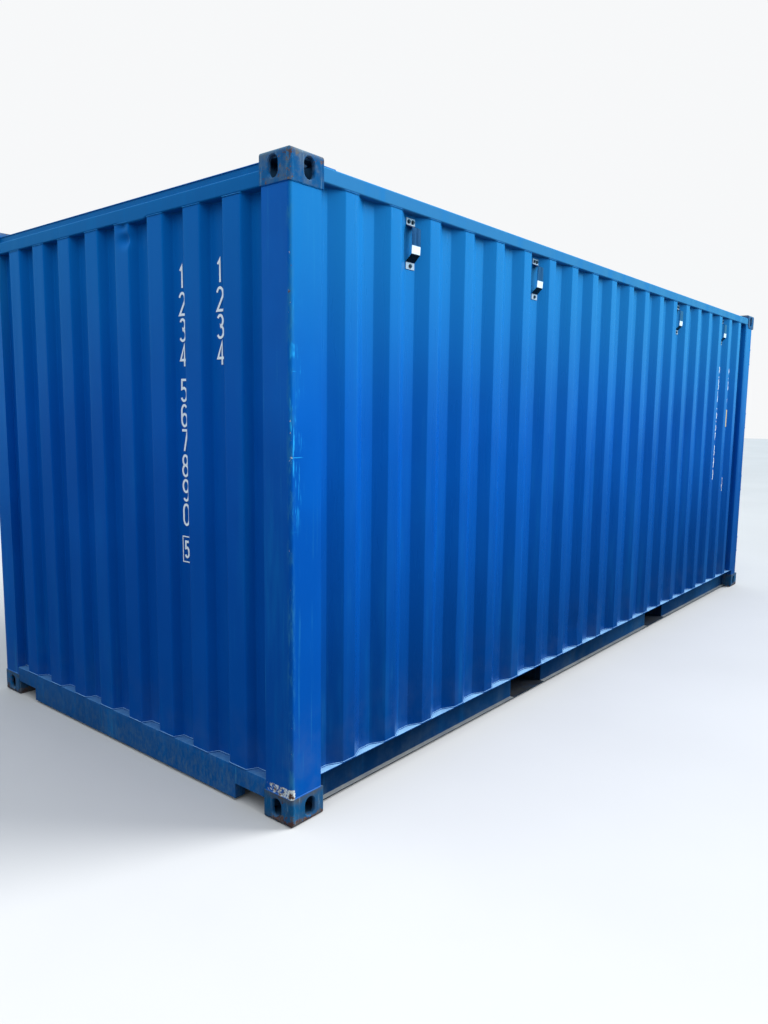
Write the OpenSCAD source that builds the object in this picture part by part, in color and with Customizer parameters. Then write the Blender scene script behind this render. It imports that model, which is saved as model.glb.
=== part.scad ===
// Twenty foot dry freight container, closed, standing on its four bottom corner castings.
// +X runs from the blind front end to the door end, +Y from the left side to the right side, +Z up.
// The origin is on the ground under the middle of the box. All sizes are in millimetres.

/* [Overall] */
// Length over the corner castings
box_length = 6058; // [5800:1:6400]
// Width over the corner castings
box_width = 2438; // [2300:1:2600]
// Height over the corner castings
box_height = 2591; // [2400:1:2900]

/* [Corner castings] */
// Casting size along the container
casting_length = 178; // [170:1:190]
// Casting size across the container
casting_width = 162; // [155:1:175]
// Casting height
casting_height = 118; // [114:1:126]
// Thickness of the plate with the lifting slot
casting_plate = 28; // [22:1:30]
// Thickness of the casting's side walls
casting_wall = 15; // [10:1:18]
// Radius on the casting's outer edges
casting_edge = 14; // [8:1:16]
// Lifting slot length
slot_length = 124.5; // [110:0.5:130]
// Lifting slot width
slot_width = 63.5; // [55:0.5:66]
// Lifting slot centre, measured in from the end face
slot_from_end = 102.5; // [98:0.5:106]
// Lifting slot centre, measured in from the side face
slot_from_side = 89.5; // [86:0.5:93]
// Height of the side and end holes
side_hole_height = 79.5; // [70:0.5:84]
// Width of the side and end holes
side_hole_width = 51; // [44:0.5:56]
// Bevel round the mouth of each casting hole
hole_bevel = 4; // [2:0.5:6]

/* [Posts and rails] */
// Front post plate thickness
post_plate = 6; // [4:0.5:8]
// Front post width seen from the side
front_post_side = 168; // [150:1:176]
// Front post width seen from the end
front_post_end = 151; // [140:1:160]
// Rear post width seen from the side
rear_post_side = 195; // [180:1:215]
// Setback of the rear posts, header and sill behind the castings' rear faces
rear_setback = 44; // [40:1:50]
// Rear post width seen from the end
rear_post_end = 46; // [42:1:50]
// Depth of the lip that a post turns in beside the wall sheet
post_lip = 50; // [46:1:60]
// Thick channel inside the rear post, depth along the container
jamb_length = 113; // [100:1:118]
// Thick channel inside the rear post, plate thickness
jamb_plate = 10; // [8:1:12]
// Square tube of the top rails and the front header
rail_tube = 60; // [50:1:70]
// Wall of that tube
rail_tube_wall = 3; // [2.5:0.5:5]
// Corner radius of that tube
rail_tube_corner = 7; // [4:1:10]
// Top rail drop below the top of the castings
top_rail_drop = 31; // [24:1:36]
// Front header drop below the top of the castings
header_drop = 58; // [52:1:62]
// Setback of rails and headers from the outer faces
frame_setback = 4; // [2:1:6]
// Bottom rail height
bottom_rail_height = 158; // [140:1:165]
// Bottom rail clearance over the ground
ground_gap = 14; // [12:1:20]
// Bottom rail top flange width
rail_top_flange = 80; // [60:1:84]
// Bottom rail bottom flange width
rail_bottom_flange = 30; // [25:1:45]
// Bottom rail plate thickness
rail_plate = 4.5; // [4:0.5:6]

/* [Front end] */
// Front sill top height
front_sill_top = 160; // [150:1:170]
// Front sill plate thickness
sill_plate = 4; // [3:0.5:6]
// Depth of the front sill's top flange
front_sill_depth = 92; // [70:1:110]
// Depth of the front sill's bottom flange
front_sill_toe = 55; // [40:1:80]
// Width of the notch in the sill beside each casting
sill_notch_width = 192; // [150:1:230]
// Height of that notch above the ground
sill_notch_height = 83; // [70:1:95]
// Number of gussets inside the sill
gusset_count = 4; // [2:1:6]

/* [Wall sheets] */
// Wall sheet thickness
sheet = 2; // [1.5:0.5:3]
// Bend radius of the folded sheets
sheet_bend = 10; // [4:1:14]
// Setback of the sheet's outer faces from the castings
sheet_setback = 6; // [5:1:8]
// Depth of the side wall corrugation
wave_depth = 35; // [24:1:37]
// Depth of the front wall corrugation
front_wave_depth = 45; // [30:1:46]
// Side wall outer face width
side_outer = 72; // [60:1:84]
// Side wall slope width
side_slope = 68; // [55:1:75]
// Side wall corrugation pitch, near which the count comes out whole
side_pitch_near = 278; // [260:1:300]
// Side wall flat width left over at the rear post
side_end_flat = 91; // [70:1:120]
// Front wall flat width beside each post
front_end_flat = 101.75; // [90:0.25:115]
// Front wall outer face width
front_outer = 110; // [100:1:120]
// Front wall slope width
front_slope = 20; // [14:1:24]
// Front wall corrugation pitch, near which the count comes out whole
front_pitch_near = 253.5; // [240:0.5:270]

/* [Strap brackets] */
// Bracket strap width
strap_width = 60; // [50:1:64]
// Bracket strap thickness
strap = 3; // [2.5:0.5:5]
// Bracket height from foot to foot
strap_height = 216; // [190:1:240]
// How far the strap stands off the wall
strap_rise = 36; // [20:1:37]
// Distance from the top rail down to the bracket's top end
strap_drop = 14; // [8:1:60]
// Height of each bracket foot
strap_foot = 30; // [24:1:36]
// Height of the strap's flat outer face
strap_flat = 76; // [60:1:90]
// Height of the slope over that face, with the foot above it
strap_head = 46; // [38:1:60]

/* [Floor] */
// Floor board thickness
board = 28; // [24:1:30]
// Floor board count across the container
board_count = 6; // [4:1:8]
// Cross member height
member_height = 122; // [110:1:126]
// Cross member flange width
member_flange = 45; // [38:1:55]
// Cross member plate thickness
member_plate = 4; // [3:0.5:5]
// Distance between fork pocket centres
pocket_pitch = 2050; // [1900:1:2100]
// Fork pocket clear width
pocket_width = 360; // [340:1:380]
// Fork pocket clear height
pocket_height = 115; // [110:1:118]
// Fork pocket bottom strap width
pocket_strap = 200; // [150:1:250]
// Fork pocket bottom strap thickness
pocket_plate = 6; // [4:0.5:8]

/* [Roof] */
// Roof sheet edge overlap on the rails
roof_lap = 40; // [30:1:50]
// Roof corrugation pitch, near which the count comes out whole
roof_pitch_near = 209; // [190:1:230]
// Flat length of the roof sheet before the first ridge
roof_margin = 204; // [150:1:260]
// Distance from the sheet's long edge to the ends of the ridges
ridge_inset = 70; // [50:1:90]
// Width of a roof ridge at its top
roof_ridge = 91; // [80:1:100]
// Width of a roof slope
roof_slope = 17.5; // [14:0.5:22]
// Height of the roof ridges
roof_depth = 20; // [14:1:22]
// Length of the thick plates at each end of the roof
roof_end_plate = 240; // [220:1:260]

/* [Doors] */
// Depth of the door faces behind the castings' rear faces
door_setback = 55; // [50:1:60]
// Door leaf thickness
door_depth = 50; // [45:1:55]
// Gap between a leaf and the frame round it, and half the gap between the leaves
door_gap = 9; // [7:1:12]
// Width of a leaf's upright tube
stile_width = 100; // [80:1:110]
// Height of a leaf's top and bottom channel
leaf_rail = 150; // [120:1:160]
// Wall of the leaf's tubes
leaf_tube_wall = 3.2; // [2.5:0.1:4]
// Door panel trough pitch, near which the count comes out whole
door_pitch_near = 380; // [340:1:420]
// Door panel flat height above and below the troughs
door_margin = 150; // [100:1:200]
// Door panel trough width
door_trough = 72; // [60:1:90]
// Door sill top height
door_sill_top = 172; // [165:1:180]
// Door header bottom height, below the top of the castings
door_header_drop = 139; // [130:1:145]
// Lock rod radius
rod_radius = 17; // [15:0.5:18]
// Lock rod axis behind the castings' rear faces
rod_setback = 31; // [28:1:33]
// Inner lock rod distance from the middle
inner_rod = 235; // [200:1:280]
// Outer lock rod distance from the leaf's hinged edge
outer_rod_inset = 259; // [220:1:300]
// Lock handle length
handle_length = 430; // [350:1:480]
// Height of the handles on the inner rods
inner_handle = 1290; // [1200:1:1400]
// Height of the handles on the outer rods
outer_handle = 1130; // [1000:1:1180]
// Hinge blade height
hinge_height = 120; // [100:1:150]
// Hinge pin radius
hinge_pin = 8; // [6:0.5:9]
// Hinge blade reach over the leaf
hinge_reach = 110; // [90:1:140]
// Distance of the end hinges from the leaf's ends
hinge_inset = 230; // [180:1:300]

/* [Hidden] */
$fn = 48;

front = -1;
rear = 1;
left = -1;
right = 1;
half_length = box_length / 2;
half_width = box_width / 2;
bottom_rail_top = ground_gap + bottom_rail_height;
top_rail_top = box_height - top_rail_drop;
top_rail_bottom = top_rail_top - rail_tube;
web_depth = frame_setback + rail_top_flange;
recess_depth = sheet_setback + wave_depth;
floor_edge = half_width - web_depth;
board_bottom = bottom_rail_top - board;
pocket_top = ground_gap + pocket_plate + pocket_height;
member_bottom = board_bottom - member_height;
header_top = box_height - header_drop;
header_bottom = header_top - rail_tube;
front_floor_edge = -half_length + frame_setback + front_sill_depth;
door_header_bottom = box_height - door_header_drop;
joint_gap = 0.4;
notch_span = 2 * (half_width - casting_width - sill_notch_width);
bend_steps = 2;
post_bottom = casting_height;
post_top = box_height - casting_height;
front_jamb = -half_length + front_post_side;
rear_jamb = half_length - rear_setback - rear_post_side;
casting_inner_x = half_length - casting_length;
casting_inner_y = half_width - casting_width;
front_wall_edge = half_width - frame_setback - front_post_end;
rear_face = half_length - rear_setback;
rear_opening = half_width - rear_post_end;
door_face = half_length - door_setback;
leaf_edge = rear_opening - door_gap;
leaf_bottom = door_sill_top + door_gap;
leaf_top = door_header_bottom - door_gap;
rod_axis = half_length - rod_setback;
outer_rod = leaf_edge - outer_rod_inset;
roof_plate = 4;
roof_half = half_length - roof_end_plate - 14;
roof_run = 2 * (roof_half - roof_margin - roof_slope) - roof_ridge;
roof_waves = round(roof_run / roof_pitch_near) + 1;
roof_pitch = roof_run / (roof_waves - 1);
roof_edge = half_width - frame_setback - rail_tube + roof_lap;
wave_start = front_jamb;
side_run = rear_jamb - front_jamb - side_end_flat;
side_waves = round(side_run / side_pitch_near);
side_pitch = side_run / side_waves;
front_run = 2 * (front_wall_edge - front_end_flat - front_slope) - front_outer;
front_waves = round(front_run / front_pitch_near) + 1;
front_pitch = front_run / (front_waves - 1);
side_inner = side_pitch - side_outer - 2 * side_slope;
strap_recess = [2, 6, side_waves - 6, side_waves - 2];
pocket_centre = pocket_pitch / 2;
pocket_outside = pocket_width / 2 + pocket_plate;
outer_members = 5;
inner_members = 6;
cam_height = 30;
keeper_plate = 12;
hinge_blade = 10;
hinge_count = 4;
guide_inset = 60;

function unit(v) = v / norm(v);
function side_of(a, b) = let (u = unit(b - a)) [-u[1], u[0]];
function shifted(p, i, t) =
    let (
        n = len(p),
        before = i == 0 ? side_of(p[0], p[1]) : side_of(p[i - 1], p[i]),
        after = i == n - 1 ? before : side_of(p[i], p[i + 1]),
        m = unit(before + after)
    ) p[i] + m * (t / (m * before));
// Each corner of a path as a short bend
function bend(p, i) =
    let (
        back = p[i - 1] - p[i],
        ahead = p[i + 1] - p[i],
        turn = 180 - acos(max(-1, min(1, back * ahead / (norm(back) * norm(ahead))))),
        reach = min(sheet_bend * tan(turn / 2), 0.45 * norm(back), 0.45 * norm(ahead)),
        from = p[i] + reach * unit(back),
        to = p[i] + reach * unit(ahead)
    ) [for (t = [0:1 / bend_steps:1]) from * (1 - t) * (1 - t) + p[i] * 2 * t * (1 - t) + to * t * t];
function folded(p) = concat([p[0]], [for (i = [1:len(p) - 2]) each bend(p, i)], [p[len(p) - 1]]);
// A bent sheet drawn from the path of its outer face
function bent_sheet(p, t) = concat(p, [for (i = [len(p) - 1:-1:0]) shifted(p, i, t)]);

module turned(end, side, top) {
    mirror([end > 0 ? 1 : 0, 0, 0])
        mirror([0, side > 0 ? 1 : 0, 0])
            mirror([0, 0, top ? 1 : 0])
                children();
}

module at_corner(end, side, top) {
    translate([end * half_length, side * half_width, top ? box_height : 0])
        turned(end, side, top)
            children();
}

module box_between(x, y, z) {
    translate([x[0], y[0], z[0]])
        cube([x[1] - x[0], y[1] - y[0], z[1] - z[0]]);
}

module rounded_corner(a, b, r) {
    translate([r, 0]) square([a - r, b]);
    translate([0, r]) square([a, b - r]);
    translate([r, r]) circle(r);
}

// Upright hole with a bevelled mouth, cut along +Z from its mouth
module bevelled_hole(long, wide, depth) {
    straight = (long - wide) / 2;
    for (e = [-1, 1])
        translate([e * straight, 0, 0]) {
            translate([0, 0, -1]) cylinder(r = wide / 2, h = depth + 2);
            translate([0, 0, -0.01])
                cylinder(r1 = wide / 2 + hole_bevel, r2 = wide / 2, h = hole_bevel);
        }
    translate([-straight, -wide / 2, -1]) cube([2 * straight, wide, depth + 2]);
    translate([-straight, 0, -0.01])
        rotate([90, 0, 90])
            linear_extrude(2 * straight)
                polygon([
                    [-wide / 2 - hole_bevel, 0], [wide / 2 + hole_bevel, 0],
                    [wide / 2, hole_bevel], [-wide / 2, hole_bevel]
                ]);
}

// Hollow casting in its own corner frame: the outer faces are at x = 0, y = 0 and z = 0
module casting_shape() {
    slot_x = slot_from_end;
    slot_y = slot_from_side;
    difference() {
        intersection() {
            linear_extrude(casting_height)
                rounded_corner(casting_length, casting_width, casting_edge);
            rotate([90, 0, 90])
                linear_extrude(casting_length)
                    rounded_corner(casting_width, casting_height, casting_edge);
            translate([0, casting_width, 0])
                rotate([90, 0, 0])
                    linear_extrude(casting_width)
                        rounded_corner(casting_length, casting_height, casting_edge);
        }
        translate([casting_wall, casting_wall, casting_plate])
            cube([
                casting_length - 1.8 * casting_wall, casting_width - 1.8 * casting_wall,
                casting_height - casting_plate - 0.8 * casting_wall
            ]);
        translate([slot_x, slot_y, 0])
            bevelled_hole(slot_length, slot_width, casting_plate);
        translate([slot_x, 0, casting_height / 2])
            rotate([-90, 90, 0])
                bevelled_hole(side_hole_height, side_hole_width, casting_wall);
        translate([0, slot_y, casting_height / 2])
            rotate([0, 90, 0])
                bevelled_hole(side_hole_height, side_hole_width, casting_wall);
    }
}

module casting(end, side, top) {
    color([0.35, 0.35, 0.34])
        at_corner(end, side, top) casting_shape();
}

module casting_bottom_front_left() { casting(front, left, false); }
module casting_bottom_front_right() { casting(front, right, false); }
module casting_bottom_rear_left() { casting(rear, left, false); }
module casting_bottom_rear_right() { casting(rear, right, false); }
module casting_top_front_left() { casting(front, left, true); }
module casting_top_front_right() { casting(front, right, true); }
module casting_top_rear_left() { casting(rear, left, true); }
module casting_top_rear_right() { casting(rear, right, true); }

// One pressed plate with a rounded outer edge and a lip beside each wall sheet
module front_post(side) {
    deep = front_post_side - frame_setback;
    wide = front_post_end;
    color([0.12, 0.26, 0.55])
        at_corner(front, side, false)
            translate([frame_setback, frame_setback, post_bottom])
                linear_extrude(post_top - post_bottom) {
                    difference() {
                        rounded_corner(deep, wide, casting_edge);
                        translate([post_plate, post_plate])
                            rounded_corner(deep, wide, casting_edge - post_plate);
                    }
                    translate([deep - post_plate, 0])
                        square([post_plate, post_lip - frame_setback]);
                    translate([0, wide - post_plate])
                        square([post_lip + 2, post_plate]);
                }
}

module front_post_left() { front_post(left); }
module front_post_right() { front_post(right); }

// Closed rear post: pressed outer part and the thick channel of the door jamb
module rear_post(side) {
    wide = rear_post_end - frame_setback;
    color([0.12, 0.26, 0.55])
        difference() {
            at_corner(rear, side, false)
                translate([rear_setback, frame_setback, post_bottom])
                    linear_extrude(top_rail_bottom - post_bottom)
                        difference() {
                            rounded_corner(rear_post_side, wide, post_plate + 3);
                            translate([post_plate, post_plate])
                                square([jamb_length - post_plate, wide - post_plate - jamb_plate]);
                            translate([jamb_length + jamb_plate, post_plate])
                                square([
                                    rear_post_side - jamb_length - jamb_plate - post_plate,
                                    wide - 2 * post_plate
                                ]);
                        }
            at_corner(rear, side, false)
                translate([-1, -1, post_top])
                    cube([casting_length + 1, casting_width, casting_height]);
            at_corner(rear, side, false)
                translate([casting_length, -1, 0])
                    cube([rear_post_side, casting_width, bottom_rail_top]);
        }
}

module rear_post_left() { rear_post(left); }
module rear_post_right() { rear_post(right); }

module rounded_square(a, r) {
    translate([r, 0]) square([a - 2 * r, a]);
    translate([0, r]) square([a, a - 2 * r]);
    for (x = [r, a - r], y = [r, a - r])
        translate([x, y]) circle(r);
}

module tube_profile() {
    difference() {
        rounded_square(rail_tube, rail_tube_corner);
        translate([rail_tube_wall, rail_tube_wall])
            rounded_square(rail_tube - 2 * rail_tube_wall, rail_tube_corner - rail_tube_wall);
    }
}

module front_header() {
    x0 = -half_length + frame_setback;
    color([0.12, 0.26, 0.55]) {
        translate([x0, casting_inner_y, header_bottom])
            rotate([90, 0, 0])
                linear_extrude(2 * casting_inner_y) tube_profile();
        box_between([x0 + 12, x0 + 12 + roof_plate], [-casting_inner_y, casting_inner_y],
            [header_top, top_rail_top]);
    }
}

// Pressed sill with a notch beside each casting
module front_sill() {
    x0 = -half_length + frame_setback;
    z0 = ground_gap - 2;
    color([0.12, 0.26, 0.55]) {
        difference() {
            union() {
                box_between([x0, x0 + sill_plate], [-front_wall_edge, front_wall_edge],
                    [z0, front_sill_top]);
                box_between([x0, x0 + front_sill_depth], [-front_wall_edge, front_wall_edge],
                    [front_sill_top - sill_plate, front_sill_top]);
                box_between([x0, x0 + front_sill_toe], [-front_wall_edge, front_wall_edge],
                    [z0, z0 + sill_plate]);
            }
            for (s = [left, right])
                mirror([0, s > 0 ? 1 : 0, 0]) {
                    box_between([x0 - 1, x0 + front_sill_depth + 1],
                        [-front_wall_edge - 1, -casting_inner_y], [0, casting_height]);
                    box_between([x0 - 1, x0 + front_sill_depth + 1],
                        [-front_wall_edge - 1, -casting_inner_y + sill_notch_width],
                        [0, sill_notch_height]);
                }
        }
        for (s = [left, right])
            mirror([0, s > 0 ? 1 : 0, 0]) {
                y1 = -casting_inner_y + sill_notch_width;
                box_between([x0, x0 + front_sill_toe], [-casting_inner_y, y1],
                    [sill_notch_height - sill_plate, sill_notch_height]);
                box_between([x0, x0 + front_sill_toe], [y1 - sill_plate, y1],
                    [z0, sill_notch_height]);
            }
        for (k = [1:gusset_count])
            translate([x0, (k / (gusset_count + 1) - 0.5) * notch_span - sill_plate / 2, 0])
                rotate([-90, 0, 0])
                    linear_extrude(sill_plate)
                        polygon([
                            [sill_plate, -z0 - sill_plate], [front_sill_toe, -z0 - sill_plate],
                            [front_sill_depth - 4, -front_sill_top + sill_plate],
                            [sill_plate, -front_sill_top + sill_plate]
                        ]);
    }
}

// Box beam between the rear castings, open at its ends
module rear_beam(z0, z1) {
    x0 = rear_face - jamb_length;
    color([0.12, 0.26, 0.55])
        difference() {
            box_between([x0, rear_face], [-casting_inner_y, casting_inner_y], [z0, z1]);
            box_between([x0 + 4, rear_face - 5], [-casting_inner_y + 4, casting_inner_y - 4],
                [z0 + 4, z1 - 4]);
        }
}

// Strip across the full opening, over or under the door seals
module rear_strip(z0, z1) {
    color([0.12, 0.26, 0.55])
        box_between([rear_face - jamb_length, rear_face], [-rear_opening, rear_opening], [z0, z1]);
}

module door_header() { rear_beam(post_top, top_rail_top); }
module door_lintel() { rear_strip(door_header_bottom, post_top); }
module door_sill() { rear_beam(ground_gap, post_bottom); }

// Hollow threshold on the sill, between the rear posts
module door_threshold() {
    x0 = rear_face - jamb_length;
    color([0.12, 0.26, 0.55])
        difference() {
            rear_strip(post_bottom, door_sill_top);
            box_between([x0 + 4, rear_face - 5], [-rear_opening + 4, rear_opening - 4],
                [post_bottom + 4, door_sill_top - 5]);
        }
}

module top_rail(side) {
    y0 = half_width - frame_setback - rail_tube;
    color([0.12, 0.26, 0.55])
        mirror([0, side > 0 ? 0 : 1, 0])
            translate([-casting_inner_x, y0, top_rail_bottom])
                rotate([90, 0, 90])
                    linear_extrude(2 * casting_inner_x) tube_profile();
}

module top_rail_left() { top_rail(left); }
module top_rail_right() { top_rail(right); }

// Top flange of the bottom rail and the strip of its web over the fork pockets
module bottom_rail(side) {
    y0 = -half_width + frame_setback;
    y1 = y0 + rail_top_flange;
    color([0.12, 0.26, 0.55])
        mirror([0, side > 0 ? 1 : 0, 0]) {
            box_between([front_jamb, casting_inner_x], [y0, y1],
                [bottom_rail_top - rail_plate, bottom_rail_top]);
            box_between([front_jamb, casting_inner_x], [y1 - rail_plate, y1],
                [pocket_top, bottom_rail_top]);
        }
}

// The rest of the web and the bottom flange, with its toe outward, between the fork pockets
module bottom_rail_webs() {
    y1 = -half_width + frame_setback + rail_top_flange;
    color([0.12, 0.26, 0.55])
        for (s = [left, right])
            mirror([0, s > 0 ? 1 : 0, 0])
                for (x = [
                    [-casting_inner_x, -pocket_centre - pocket_width / 2],
                    [-pocket_centre + pocket_width / 2, pocket_centre - pocket_width / 2],
                    [pocket_centre + pocket_width / 2, casting_inner_x]
                ]) {
                    box_between(x, [y1 - rail_plate, y1], [ground_gap, pocket_top]);
                    box_between(x, [y1 - rail_bottom_flange, y1], [ground_gap, ground_gap + rail_plate]);
                }
}

module bottom_rail_left() { bottom_rail(left); }
module bottom_rail_right() { bottom_rail(right); }

front_path = concat(
    [[-front_wall_edge, sheet_setback + front_wave_depth]],
    [for (k = [0:front_waves - 1])
        let (a = front_outer / 2, b = a + front_slope)
        let (c = (k - (front_waves - 1) / 2) * front_pitch)
        each [
            [c - b, sheet_setback + front_wave_depth], [c - a, sheet_setback],
            [c + a, sheet_setback], [c + b, sheet_setback + front_wave_depth]
        ]],
    [[front_wall_edge, sheet_setback + front_wave_depth]]
);

module front_wall() {
    color([0.14, 0.3, 0.62])
        translate([-half_length, 0, front_sill_top])
            linear_extrude(header_bottom - front_sill_top)
                polygon([for (p = bent_sheet(folded(front_path), sheet)) [p[1], p[0]]]);
}

side_path = concat(
    [[front_jamb, sheet_setback + wave_depth]],
    [for (k = [0:side_waves - 1])
        let (x = wave_start + k * side_pitch + side_inner)
        each [
            [x, sheet_setback + wave_depth], [x + side_slope, sheet_setback],
            [x + side_slope + side_outer, sheet_setback],
            [x + 2 * side_slope + side_outer, sheet_setback + wave_depth]
        ]],
    [[rear_jamb, sheet_setback + wave_depth]]
);

module side_wall(side) {
    color([0.14, 0.3, 0.62])
        mirror([0, side > 0 ? 1 : 0, 0])
            difference() {
                translate([0, -half_width, bottom_rail_top])
                    linear_extrude(top_rail_bottom - bottom_rail_top)
                        polygon(bent_sheet(folded(side_path), sheet));
                box_between([-half_length, -casting_inner_x],
                    [-half_width - 1, -casting_inner_y], [post_top, box_height]);
            }
}

module side_wall_left() { side_wall(left); }
module side_wall_right() { side_wall(right); }

roof_path = concat(
    [[-roof_half, 0]],
    [for (k = [0:roof_waves - 1])
        let (a = roof_ridge / 2, b = a + roof_slope, c = (k - (roof_waves - 1) / 2) * roof_pitch)
        each [[c - b, 0], [c - a, roof_depth], [c + a, roof_depth], [c + b, 0]]],
    [[roof_half, 0]]
);

// Stamped sheet with ridges across, lapped on the top rails
module roof_sheet() {
    lower = [for (p = roof_path) [p[0], p[1]]];
    flat = roof_edge - ridge_inset;
    color([0.13, 0.28, 0.58]) {
        translate([0, flat, top_rail_top])
            rotate([90, 0, 0])
                linear_extrude(2 * flat)
                    polygon(bent_sheet(lower, sheet));
        for (s = [left, right])
            mirror([0, s > 0 ? 1 : 0, 0]) {
                box_between([roof_path[0][0], -roof_path[0][0]], [-roof_edge, -flat],
                    [top_rail_top, top_rail_top + sheet]);
                for (k = [0:roof_waves - 1])
                    translate([(k - (roof_waves - 1) / 2) * roof_pitch, -flat - sheet, top_rail_top])
                        rotate([90, 0, 90])
                            translate([0, 0, -roof_ridge / 2 - 1])
                                linear_extrude(roof_ridge + 2)
                                    polygon([
                                        [sheet, roof_depth], [sheet, roof_depth + sheet],
                                        [-24, sheet], [-24, 0]
                                    ]);
            }
    }
}

// Thick plates at both ends of the roof, cut round the top castings
module roof_end_plates() {
    edge = half_width - frame_setback - 6;
    color([0.13, 0.28, 0.58])
        for (e = [front, rear])
            mirror([e > 0 ? 1 : 0, 0, 0])
                difference() {
                    box_between([-half_length + (e > 0 ? rear_setback : 12), -roof_half],
                        [-edge, edge], [top_rail_top, top_rail_top + roof_plate]);
                    for (s = [left, right])
                        mirror([0, s > 0 ? 1 : 0, 0])
                            box_between([-half_length, -casting_inner_x],
                                [-half_width, -casting_inner_y], [top_rail_top - 1, box_height]);
                }
}

module floor_boards() {
    x0 = front_floor_edge;
    x1 = rear_face - jamb_length;
    wide = 2 * floor_edge / board_count;
    color([0.5, 0.36, 0.24])
        for (k = [0:board_count - 1])
            box_between([x0 + 1, x1 - 1],
                [-floor_edge + k * wide + (k > 0 ? joint_gap : 0), -floor_edge + (k + 1) * wide],
                [board_bottom, bottom_rail_top]);
}

outer_bay = casting_inner_x - pocket_centre - pocket_outside;
inner_bay = 2 * (pocket_centre - pocket_outside);
member_places = concat(
    [for (k = [1:outer_members], e = [-1, 1])
        e * (pocket_centre + pocket_outside + k * outer_bay / (outer_members + 1))],
    [for (k = [1:inner_members]) (k / (inner_members + 1) - 0.5) * inner_bay]
);

module cross_members() {
    color([0.1, 0.1, 0.11])
        for (x = member_places)
            difference() {
                box_between([x - member_flange / 2, x + member_flange / 2], [-floor_edge, floor_edge],
                    [member_bottom, board_bottom]);
                box_between([x - member_flange / 2 + member_plate, x + member_flange],
                    [-floor_edge - 1, floor_edge + 1],
                    [member_bottom + member_plate, board_bottom - member_plate]);
            }
}

// Upright plates on both sides of each fork pocket, right across the container
module fork_pocket_sides() {
    color([0.12, 0.26, 0.55])
        for (c = [-pocket_centre, pocket_centre], e = [-1, 1])
            translate([c + e * (pocket_outside + pocket_width / 2) / 2, 0, 0])
                box_between([-pocket_plate / 2, pocket_plate / 2], [-floor_edge, floor_edge],
                    [ground_gap, board_bottom]);
}

// Cover over each fork pocket, and the straps that close its mouths below
module fork_pocket_plates() {
    wide = pocket_width / 2;
    color([0.12, 0.26, 0.55])
        for (c = [-pocket_centre, pocket_centre]) {
            box_between([c - wide, c + wide], [-floor_edge, floor_edge], [pocket_top, board_bottom]);
            for (s = [left, right])
                mirror([0, s > 0 ? 1 : 0, 0])
                    box_between([c - wide, c + wide],
                        [-floor_edge - rail_bottom_flange, -floor_edge + pocket_strap],
                        [ground_gap, ground_gap + pocket_plate]);
        }
}

module on_side(side) {
    mirror([0, side > 0 ? 1 : 0, 0]) children();
}

// Two upright tubes with a channel between them at the top and at the bottom
module door_frame(side) {
    x0 = door_face - door_depth;
    w = leaf_tube_wall;
    color([0.12, 0.26, 0.55])
        on_side(side) {
            for (y = [-leaf_edge, -door_gap - stile_width])
                difference() {
                    box_between([x0, door_face], [y, y + stile_width], [leaf_bottom, leaf_top]);
                    box_between([x0 + w, door_face - w], [y + w, y + stile_width - w],
                        [leaf_bottom + w, leaf_top - w]);
                }
            for (z = [leaf_bottom, leaf_top - leaf_rail])
                difference() {
                    box_between([x0, door_face],
                        [-leaf_edge + stile_width, -door_gap - stile_width], [z, z + leaf_rail]);
                    box_between([x0 - 1, door_face - w],
                        [-leaf_edge + stile_width - 1, -door_gap - stile_width + 1],
                        [z + w, z + leaf_rail - w]);
                }
        }
}

module door_frame_left() { door_frame(left); }
module door_frame_right() { door_frame(right); }

door_middle = (leaf_bottom + leaf_top) / 2;
panel_height = leaf_top - leaf_bottom - 2 * leaf_rail;
door_run = panel_height - 2 * (door_margin + wave_depth) - door_trough;
door_waves = round(door_run / door_pitch_near) + 1;
door_pitch = door_run / (door_waves - 1);
door_panel_path = concat(
    [[leaf_bottom + leaf_rail, 3]],
    [for (k = [0:door_waves - 1])
        let (a = door_trough / 2, b = a + wave_depth)
        let (c = door_middle + (k - (door_waves - 1) / 2) * door_pitch)
        each [[c - b, 3], [c - a, 3 + wave_depth], [c + a, 3 + wave_depth], [c + b, 3]]],
    [[leaf_top - leaf_rail, 3]]
);

module door_panel(side) {
    color([0.14, 0.3, 0.62])
        on_side(side)
            translate([door_face, -door_gap - stile_width, 0])
                rotate([90, 0, 0])
                    linear_extrude(leaf_edge - door_gap - 2 * stile_width)
                        polygon([for (p = bent_sheet(folded(door_panel_path), sheet)) [-p[1], p[0]]]);
}

module door_panel_left() { door_panel(left); }
module door_panel_right() { door_panel(right); }

module door_seal(side) {
    x0 = door_face - door_depth + 4;
    x1 = door_face - 5;
    color([0.05, 0.05, 0.05])
        on_side(side)
            difference() {
                box_between([x0, x1], [-rear_opening, -joint_gap / 2],
                    [door_sill_top, door_header_bottom]);
                box_between([x0 - 1, x1 + 1], [-leaf_edge, -door_gap], [leaf_bottom, leaf_top]);
            }
}

module door_seal_left() { door_seal(left); }
module door_seal_right() { door_seal(right); }

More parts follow.
